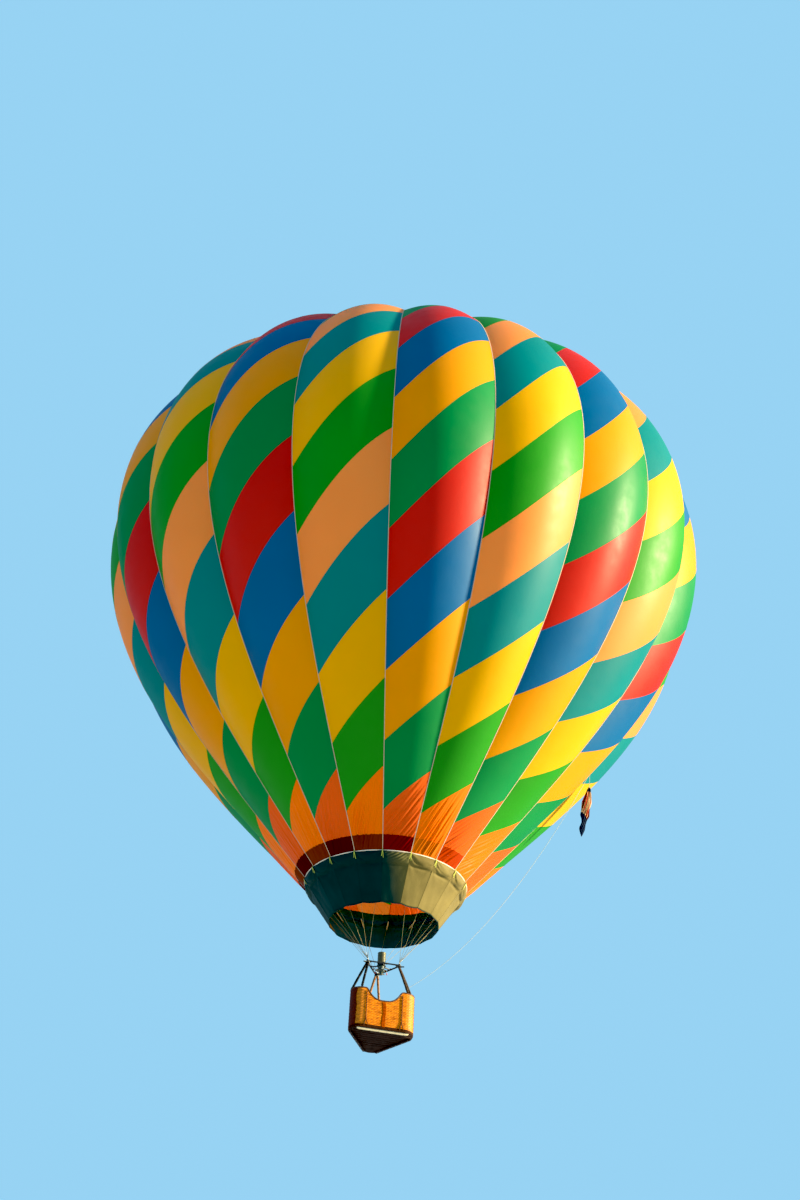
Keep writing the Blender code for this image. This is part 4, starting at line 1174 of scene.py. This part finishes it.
def make_burner_trim():
    """Valves, handles and a plain gauge round the burner's body, and bolts on its mount."""
    trim = Shape()
    for z in (-0.125, -0.035, 0.045):
        trim.tube(polar(turns(60), 0.089, FRAME_Z + z), 0.005, loop=True, up=UP)
    for angle in turns(4) + math.radians(20):
        place = polar(angle, BODY_R * 0.5, FRAME_Z - 0.20)
        trim.rod(place, away(angle) * 0.055, 0.013, 6, slot=1)
        trim.rod(place + away(angle) * 0.055, away(angle) * 0.020, 0.009, 12, slot=1)
    for angle in (-math.pi / 2, math.pi / 2):
        out = away(angle)
        start = polar(angle, BODY_R - 0.004, FRAME_Z - 0.085)
        trim.rod(start, out * 0.045, 0.017, 12, slot=1)
        bend = np.linspace(0, math.pi / 2, 8)[:, None]
        path = start + out * (0.030 + 0.05 * np.sin(bend)) + UP * (0.012 - 0.05 * (1 - np.cos(bend)))
        tail = np.linspace(path[-1], path[-1] - UP * 0.10, 6)[1:]
        trim.tube(np.concatenate([path, tail]), 0.006, 10)
        trim.tube(tail[1:], 0.012, 12, slot=3)
    out = away(math.radians(10))
    gauge = out * (BODY_R - 0.003) + UP * (FRAME_Z - 0.085)
    trim.rod(gauge, out * 0.032, 0.026, 32, slot=1)
    trim.rod(gauge + out * 0.031, out * 0.0025, 0.022, 32, slot=4)
    trim.rod(gauge + out * 0.034 - [0.002, 0, 0.004], np.array([0.009, 0, 0.018]), 0.001, 6, slot=2)
    trim.make("burner_trim", [STEEL, BRASS, FRAME_PAINT, RED_KNOB, DIAL_WHITE], weld=0.00002)
    bolts = Shape()
    bolt = [(0.0105, 0), (0.0105, 0.002), (0.008, 0.002), (0.008, 0.008), (0.006, 0.010), (0, 0.010)]
    for angle in CORNER_ANGLES:
        for reach in (0.145, 0.225, 0.272):
            bolts.turned(bolt, 6, polar(angle + math.pi, reach, FRAME_Z + 0.044 + GAP))
    bolts.make("mount_bolts", [STEEL], weld=0.00002)
    paint_node("burner_mount", FRAME_PAINT)
    paint_node("burner_body", BODY_PAINT)


# Basket

def basket_plan(lengths):
    """Plan round the basket: core points, outward normals and how far the rim drops there."""
    corner, rest = np.divmod(np.asarray(lengths) % PERIMETER, THIRD)
    angle = np.array(CORNER_ANGLES)[np.minimum(corner, 2).astype(int)]
    on_arc = rest < ARC_LENGTH
    offset = rest - ARC_LENGTH - SIDE_HALF
    turn = np.where(on_arc, math.radians(120) * rest / ARC_LENGTH, math.radians(120))
    normals = away(angle + turn - math.radians(60))
    side = normals * CORE + away(angle + math.radians(150)) * offset[..., None]
    cores = np.where(on_arc[..., None], polar(angle, 2 * CORE, 0), side)
    share = np.minimum(1.0, np.abs(offset) / SCOOP_HALF_WIDTH)
    return cores, normals, np.where(on_arc, 0.0, SCOOP_DEPTH * (1 - share ** SCOOP_POWER))


def on_wall(lengths, z, offset):
    """Points of the tapering wall at lengths round it and heights z, moved out by offset."""
    lengths, z, offset = np.broadcast_arrays(lengths, z, offset)
    cores, normals, _ = basket_plan(lengths)
    taper = -BASKET_TAPER * (BASKET_TOP_Z - z) / (BASKET_TOP_Z - BASKET_BOTTOM_Z)
    points = cores + normals * (CORNER_R + taper + offset)[..., None]
    points[..., 2] = z
    return points


def weave(lengths, z, top, depth):
    """Relief of rods woven round upright stakes, one row over and the next under."""
    height = (z - BASKET_BOTTOM_Z) / WEAVE_ROW
    row = np.floor(height + 1e-6)
    share = height - row
    over = np.cos(math.pi * (lengths * STAKES / PERIMETER + row))
    rod = np.sqrt(np.clip(1 - (2 * share - 1) ** 2, 0, 1))
    groove = np.where(row % 4 == 0, 0.0016, 0.0)
    relief = depth * over * rod + 0.004 * (rod - 1) - groove
    fade = np.clip((top - z) / 0.02, 0, 1) * np.clip((z - BASKET_BOTTOM_Z - BAND_HEIGHT) / 0.03, 0, 1)
    return relief * fade


def make_wicker():
    """Woven wall: fine outside, with the same rods seen from inside."""
    columns = STAKES * 5
    lengths = np.arange(columns) * PERIMETER / columns
    top = BASKET_TOP_Z - basket_plan(lengths)[2]
    points, uvs = [], []
    sides = ((1, 4, 0.0, WEAVE_DEPTH), (-1, 2, -BASKET_WALL, -0.6 * WEAVE_DEPTH))
    for way, steps, offset, depth in sides:
        heights = np.arange(0, BASKET_TOP_Z - BASKET_BOTTOM_Z + 1e-6, WEAVE_ROW / steps)
        z = np.minimum(heights[::way, None] + BASKET_BOTTOM_Z, top)
        points.append(on_wall(lengths, z, offset + way * weave(lengths, z, top, depth)))
        uvs.append(np.stack(np.broadcast_arrays(lengths, z), -1))
    points = np.concatenate(points)
    # The left corner's arc takes the darker willow: painted shade.
    start = SHADED_CORNER * THIRD
    painted_shade_corner = (lengths > start) & (lengths < start + ARC_LENGTH + 0.06)
    shape = Shape().grid(points, np.tile(painted_shade_corner.astype(int), len(points)), wrap=True, loop=True,
                         uv=np.concatenate(uvs))
    wall = shape.make("wicker_wall", [WILLOW, SHADED_WILLOW], smooth=180, weld=0.00005,
                      slot_name="wicker")
    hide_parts("basket_wall")


def make_rim():
    """Padded leather roll over the wall's top, laced with a thong."""
    count = int(PERIMETER / 0.012)
    lengths = np.arange(count) * PERIMETER / count
    _, normals, drops = basket_plan(lengths)
    kernel = np.hanning(11)
    drops = np.convolve(np.pad(drops, 5, "wrap"), kernel / kernel.sum(), "valid")
    path = on_wall(lengths, BASKET_TOP_Z - drops, -BASKET_WALL / 2)
    tangent = unit(np.roll(path, -1, 0) - np.roll(path, 1, 0))
    up = unit(np.cross(tangent, normals))
    up[up[:, 2] < 0] *= -1
    centre = path + up * 0.0225
    size = 1 + 0.05 * np.abs(np.cos(math.pi * lengths / LACE_STEP)) ** 0.5 - 0.03
    roll = Shape().sweep(centre, up, circle(0.0235, 18, 0.95), loop=True, scale=size)
    rim = roll.make("rim_roll", [RIM_LEATHER], smooth=180, slot_name="rim_leather")
    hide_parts("basket_rim")
    lacing = Shape()
    for k in range(0, count, round(LACE_STEP / (PERIMETER / count))):
        side = np.cross(tangent[k], up[k])
        loop = ellipse(centre[k], side * 0.0262, up[k] * 0.0250 + tangent[k] * 0.006, 18)
        lacing.tube(loop, 0.0032, 6, loop=True, up=tangent[k])
    lacing.make("rim_lacing", [THONG])


def curve(points):
    """Nine points on a curve of second degree through three."""
    a, b, c = points
    control = 2 * b - (a + c) / 2
    t = np.linspace(0, 1, 9)[:, None]
    return a * (1 - t) ** 2 + control * 2 * t * (1 - t) + c * t ** 2


def make_strips(corner, strips):
    """Suede down the middle of a side and hide down its corner, each stitched along both edges."""
    low = BASKET_BOTTOM_Z + BAND_HEIGHT - 0.02
    middle = corner * THIRD + ARC_LENGTH + SIDE_HALF
    # At the left corner the dark hide strip is widened over the side that turns from the light.
    place, span = (HIDE_PLACE, HIDE_WIDTH) if corner == SHADED_CORNER else (STRIP_PLACE, 0.100)
    suede = (middle, 0.115, BASKET_TOP_Z - SCOOP_DEPTH - 0.02, 0)
    hide = (corner * THIRD + ARC_LENGTH * place, span, BASKET_TOP_Z, 2)
    for centre, width, high, slot in (suede, hide):
        z = np.linspace(low, high, 60)[:, None]
        share = np.linspace(-0.5, 0.5, 25)
        edge = 0.009 - 0.005 * np.abs(2 * share) ** 8
        swell = 0.0025 * np.sin(math.tau * (z - low) / (4 * WEAVE_ROW))
        wander = 0.010 * np.sin(9 * z + corner) + 0.005 * np.sin(31 * z)
        wide = width - 0.012 + 0.010 * np.sin(14 * z + 2 * corner)
        strips.grid(on_wall(share * wide + centre + wander, z, edge + swell), slot)
        for line in (centre - width / 2 + 0.020, centre + width / 2 - 0.020):
            for start in np.arange(low + 0.02, high - 0.02, 0.022):
                stitch = on_wall(line, np.linspace(start, start + 0.012, 3), 0.0108)
                strips.tube(stitch, 0.0012, 5, slot=1)


def make_cable(place, cables):
    """Cable laced to the wall, with a loop of rope at its foot."""
    foot = BASKET_BOTTOM_Z + LOOP_HEIGHT
    cables.tube(on_wall(place, np.linspace(foot, BASKET_TOP_Z - 0.075, 70), 0.012), 0.010)
    across = np.array([-1, 0, 1])
    for z in np.arange(foot + 0.03, BASKET_TOP_Z - 0.10, 0.075):
        stitch = on_wall(place + 0.024 * across, z + 0.012 * (across + 1), 0.024 - 0.020 * across ** 2)
        cables.tube(curve(stitch), 0.0035, 6, slot=1)
    t = np.linspace(0, 1, 12)
    z = foot + 0.015 - (LOOP_HEIGHT - BAND_HEIGHT + 0.045) * t
    for leg in (-1, 1):
        rope_leg = on_wall(place + leg * 0.055 * t ** 0.8, z, 0.013 + 0.006 * np.sin(math.pi * t))
        cables.tube(rope_leg, 0.010)
    cables.tube(on_wall(place, np.linspace(foot, foot + 0.045, 6), 0.013), 0.014, 10)


def make_wall_trim():
    """Suede strips, laced cables and rope loops on the outside of the wall."""
    strips = Shape()
    cables = Shape()
    for corner in range(3):
        make_strips(corner, strips)
        middle = corner * THIRD + ARC_LENGTH + SIDE_HALF
        make_cable(middle - CABLE_OFFSET, cables)
        make_cable(middle + CABLE_OFFSET, cables)
    strips.make("suede_strips", [SUEDE, THONG, CORNER_HIDE], smooth=60)
    cables.make("wall_cables", [ROPE_BROWN, THONG], smooth=60)


def make_band():
    """Hide band round the basket's foot, stitched along both edges."""
    lengths = np.arange(300) * PERIMETER / 300
    section = [(0.0, 0.0008), (0.0, 0.0064), (0.006, 0.0078), (0.015, 0.0070), (0.038, 0.0074),
               (0.060, 0.0070), (0.069, 0.0084), (BAND_HEIGHT, 0.0070), (BAND_HEIGHT, 0.0008)]
    height, offset = np.array(section).T[..., None]
    ripple = 0.0008 * np.sin(lengths * 31.0) * np.sin(math.pi * height / BAND_HEIGHT)
    shape = Shape().grid(on_wall(lengths, BASKET_BOTTOM_Z + height, offset + ripple), wrap=True, loop=True)
    for place in np.arange(216) * PERIMETER / 216:
        here, ahead = on_wall(place + np.array([0, 0.01]), 0.0, 0.0)
        for z in (0.012, 0.063):
            stitch = on_wall(place, BASKET_BOTTOM_Z + z, 0.0082)
            shape.rod(stitch, unit(ahead - here) * 0.013, 0.0013, 5, slot=1)
    band = shape.make("hide_band", [HIDE, THONG], smooth=60, slot_name="base_hide")
    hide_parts("basket_base_band")


def plank_half_width(y):
    """Half the width of the basket's bottom along X at a depth y."""
    ring = on_wall(np.arange(600) * PERIMETER / 600, BASKET_BOTTOM_Z, -0.02)
    ring = turned_level(ring, -BASKET_TURN)
    near = ring[np.abs(ring[:, 1] - y) < 0.03]
    return near[:, 0].max() if len(near) else 0.0


def make_planks():
    boards = Shape()
    z = BASKET_BOTTOM_Z - GAP - 0.021
    for y in -0.52 + 0.13 * np.arange(9):
        half = plank_half_width(y + 0.06)
        if half > 0.1:
            line = turned_level(np.array([(x, y, z) for x in (-half, 0, half)]), BASKET_TURN)
            boards.sweep(line, -UP, slab(0.110, 0.004))
    boards.make("floor_planks", [BOARD_WOOD], smooth=0)
    paint_node("basket_floor", BOARD_WOOD)


def make_runner(number, side_angle, material):
    """Runner under the floor, with bevelled ends and bolts."""
    out, along = away(side_angle), beside(side_angle)
    centre = out * 0.585 + UP * (BASKET_BOTTOM_Z - 0.020 - 2 * GAP)
    half = 0.72
    ends = [half, half - 0.004, half - 0.03, half - 0.06]
    rows = []
    for place in [-p for p in ends] + list(np.linspace(-half + 0.10, half - 0.10, 9)) + ends[::-1]:
        rise = 0.030 * max(0.0, 1 - (half - abs(place)) / 0.06) ** 1.5
        inset = 0.003 if abs(place) > half - 0.002 else 0.0
        w, h, b = 0.0275 - inset, 0.045 - rise, 0.005
        outline = np.array([(-w, 0), (w, 0), (w, b - h), (w - b * 0.3, b * 0.3 - h), (w - b, -h),
                            (b - w, -h), (b * 0.3 - w, b * 0.3 - h), (-w, b - h)])
        rows.append(centre + along * place + out * outline[:, :1] + UP * outline[:, 1:])
    runner = Shape().grid(np.array(rows), wrap=True, caps=True)
    bolt = [(0, -0.050), (0.010, -0.050), (0.012, -0.048), (0.012, -0.0445)]
    for place in -0.60 + 0.24 * np.arange(6):
        runner.turned(bolt, 12, centre + along * place, slot=1)
    obj = runner.make("runner_%d" % number, [material, STEEL], smooth=50, weld=0.00002,
                      slot_name="runner_wood")
    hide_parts("basket_runner_%d" % number)


def make_uprights():
    """Padded sleeves from the frame's corners to the rim, tied at both ends."""
    ties_at = (0.09, 0.5, 0.91)
    for i, (angle, cover) in enumerate(zip(CORNER_ANGLES, (SLEEVE_BROWN, SLEEVE_PALE, SLEEVE_BLACK))):
        out = away(angle)
        for number, side in ((2 * i + 1, -1), (2 * i + 2, 1)):
            top, foot = upright_ends(angle, side)
            way = unit(foot - top)
            t = np.linspace(0, 1, 61)
            path = top + (foot - top) * t[:, None] + out * 0.006 * np.sin(math.pi * t)[:, None]
            size = 1 + 0.035 * np.sin(t * 23 + number) + 0.02 * np.sin(t * 61)
            ends = np.minimum(t, 1 - t) * math.dist(top, foot)
            size = size * np.interp(ends, [0, 0.012, 0.03, 0.05], [0.70, 0.80, 0.93, 1.0])
            ties = Shape()
            for tie in ties_at:
                size = size - 0.16 * np.exp(-((t - tie) / 0.012) ** 2)
                place = top + (foot - top) * tie + out * (0.006 * math.sin(math.pi * tie))
                a = unit(np.cross(way, [0.3, 0.9, 0.1])) * (SLEEVE_R * 0.86)
                for k in (-1, 0, 1):
                    ring = ellipse(place + way * (0.007 * k), a, np.cross(way, a), 20)
                    ties.tube(ring, 0.0035, 6, loop=True, up=way)
            sleeve = Shape().sweep(path, out, circle(SLEEVE_R, 16), scale=size)
            sleeve = sleeve.make("sleeve_%d" % number, [cover], smooth=60, slot_name="upright_sleeve")
            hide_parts("upright_%d" % number)
            ties.tube(path[2:-2] + unit(np.cross(way, out)) * SLEEVE_R * 0.98, 0.0022, 6)
            ties.make("sleeve_ties_%d" % number, [THONG])


def make_tank(number, angle):
    """Fuel cylinder with a foot ring, a collar, valves and leather straps."""
    centre_r = 2 * CORE + CORNER_R - BASKET_TAPER - BASKET_WALL - 0.012 - TANK_R
    base = polar(angle, centre_r, BASKET_BOTTOM_Z)
    profile = [(0, 0.012), (0.120, 0.012), (0.124, 0.0), (0.130, 0.0), (0.132, 0.028)]
    profile += [(TANK_R * math.sin(a), 0.082 - 0.055 * math.cos(a)) for a in np.linspace(1.15, 1.57, 5)]
    profile += [(TANK_R, 0.30), (TANK_R + 0.0015, 0.305), (TANK_R + 0.0015, 0.32), (TANK_R, 0.325)]
    profile += [(TANK_R * math.cos(a), 0.722 + 0.066 * math.sin(a)) for a in np.linspace(0, 1.30, 10)]
    profile += [(0.030, 0.790), (0.028, 0.806), (0.0, 0.808)]
    shape = Shape().turned(profile, 48, base)
    collar = [(0.087, 0.775), (0.087, 0.862), (0.084, 0.866), (0.082, 0.862), (0.082, 0.775)]
    shape.turned(collar, 40, base)
    valve = base + UP * 0.806
    shape.rod(valve, UP * 0.034, 0.017, 12, slot=1)
    for turn in turns(3) + math.radians(40):
        shape.rod(valve + UP * 0.018, away(angle + turn) * 0.042, 0.009, 6, slot=1)
    shape.tube(polar(turns(24), 0.020, 0.842) + base, 0.005, slot=2, loop=True, up=UP)
    shape.rod(valve + UP * 0.03, UP * 0.020, 0.006)
    for z in (0.20, 0.56):
        ring = polar(turns(64), TANK_R + 0.0005, z) + base
        shape.sweep(ring, polar(turns(64), 1, 0), slab(0.036, 0.003), slot=3, loop=True)
        buckle = base + polar(angle + math.pi, TANK_R + 0.005, z)
        a, b = beside(angle) * 0.02, UP * 0.024
        corners = buckle + np.array([-a - b, a - b, a + b, b - a])
        edges = [np.linspace(start, end, 6, endpoint=False)
                 for start, end in zip(corners, np.roll(corners, -1, 0))]
        shape.tube(np.concatenate(edges), 0.003, 6, loop=True, up=away(angle))
    tank = shape.make("tank_%d" % number, [TANK_METAL, BRASS, RED_KNOB, RIM_LEATHER], smooth=50,
                      weld=0.00002, slot_name="cylinder_metal")
    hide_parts("fuel_cylinder_%d" % number)


def main():
    camera_place = add_camera()
    add_light()
    add_floor(camera_place)
    make_flag_line()
    make_flag()
    for number in range(GORES):
        make_gore(number)
    make_seams()
    make_load_tapes()
    make_mouth_hem()
    make_facing()
    make_vent()
    make_crown()
    make_skirt()
    for number, angle in enumerate(CORNER_ANGLES, 1):
        make_stays(number, angle)
    make_frame_trim()
    make_can()
    make_burner_trim()
    make_wicker()
    make_rim()
    make_wall_trim()
    make_band()
    make_planks()
    for number, angle in enumerate(CORNER_ANGLES, 1):
        make_runner(number, angle + math.pi, CREAM_WOOD if number == 2 else DARK_WOOD)
    make_uprights()
    for number, angle in enumerate(CORNER_ANGLES, 1):
        make_tank(number, angle)


main()
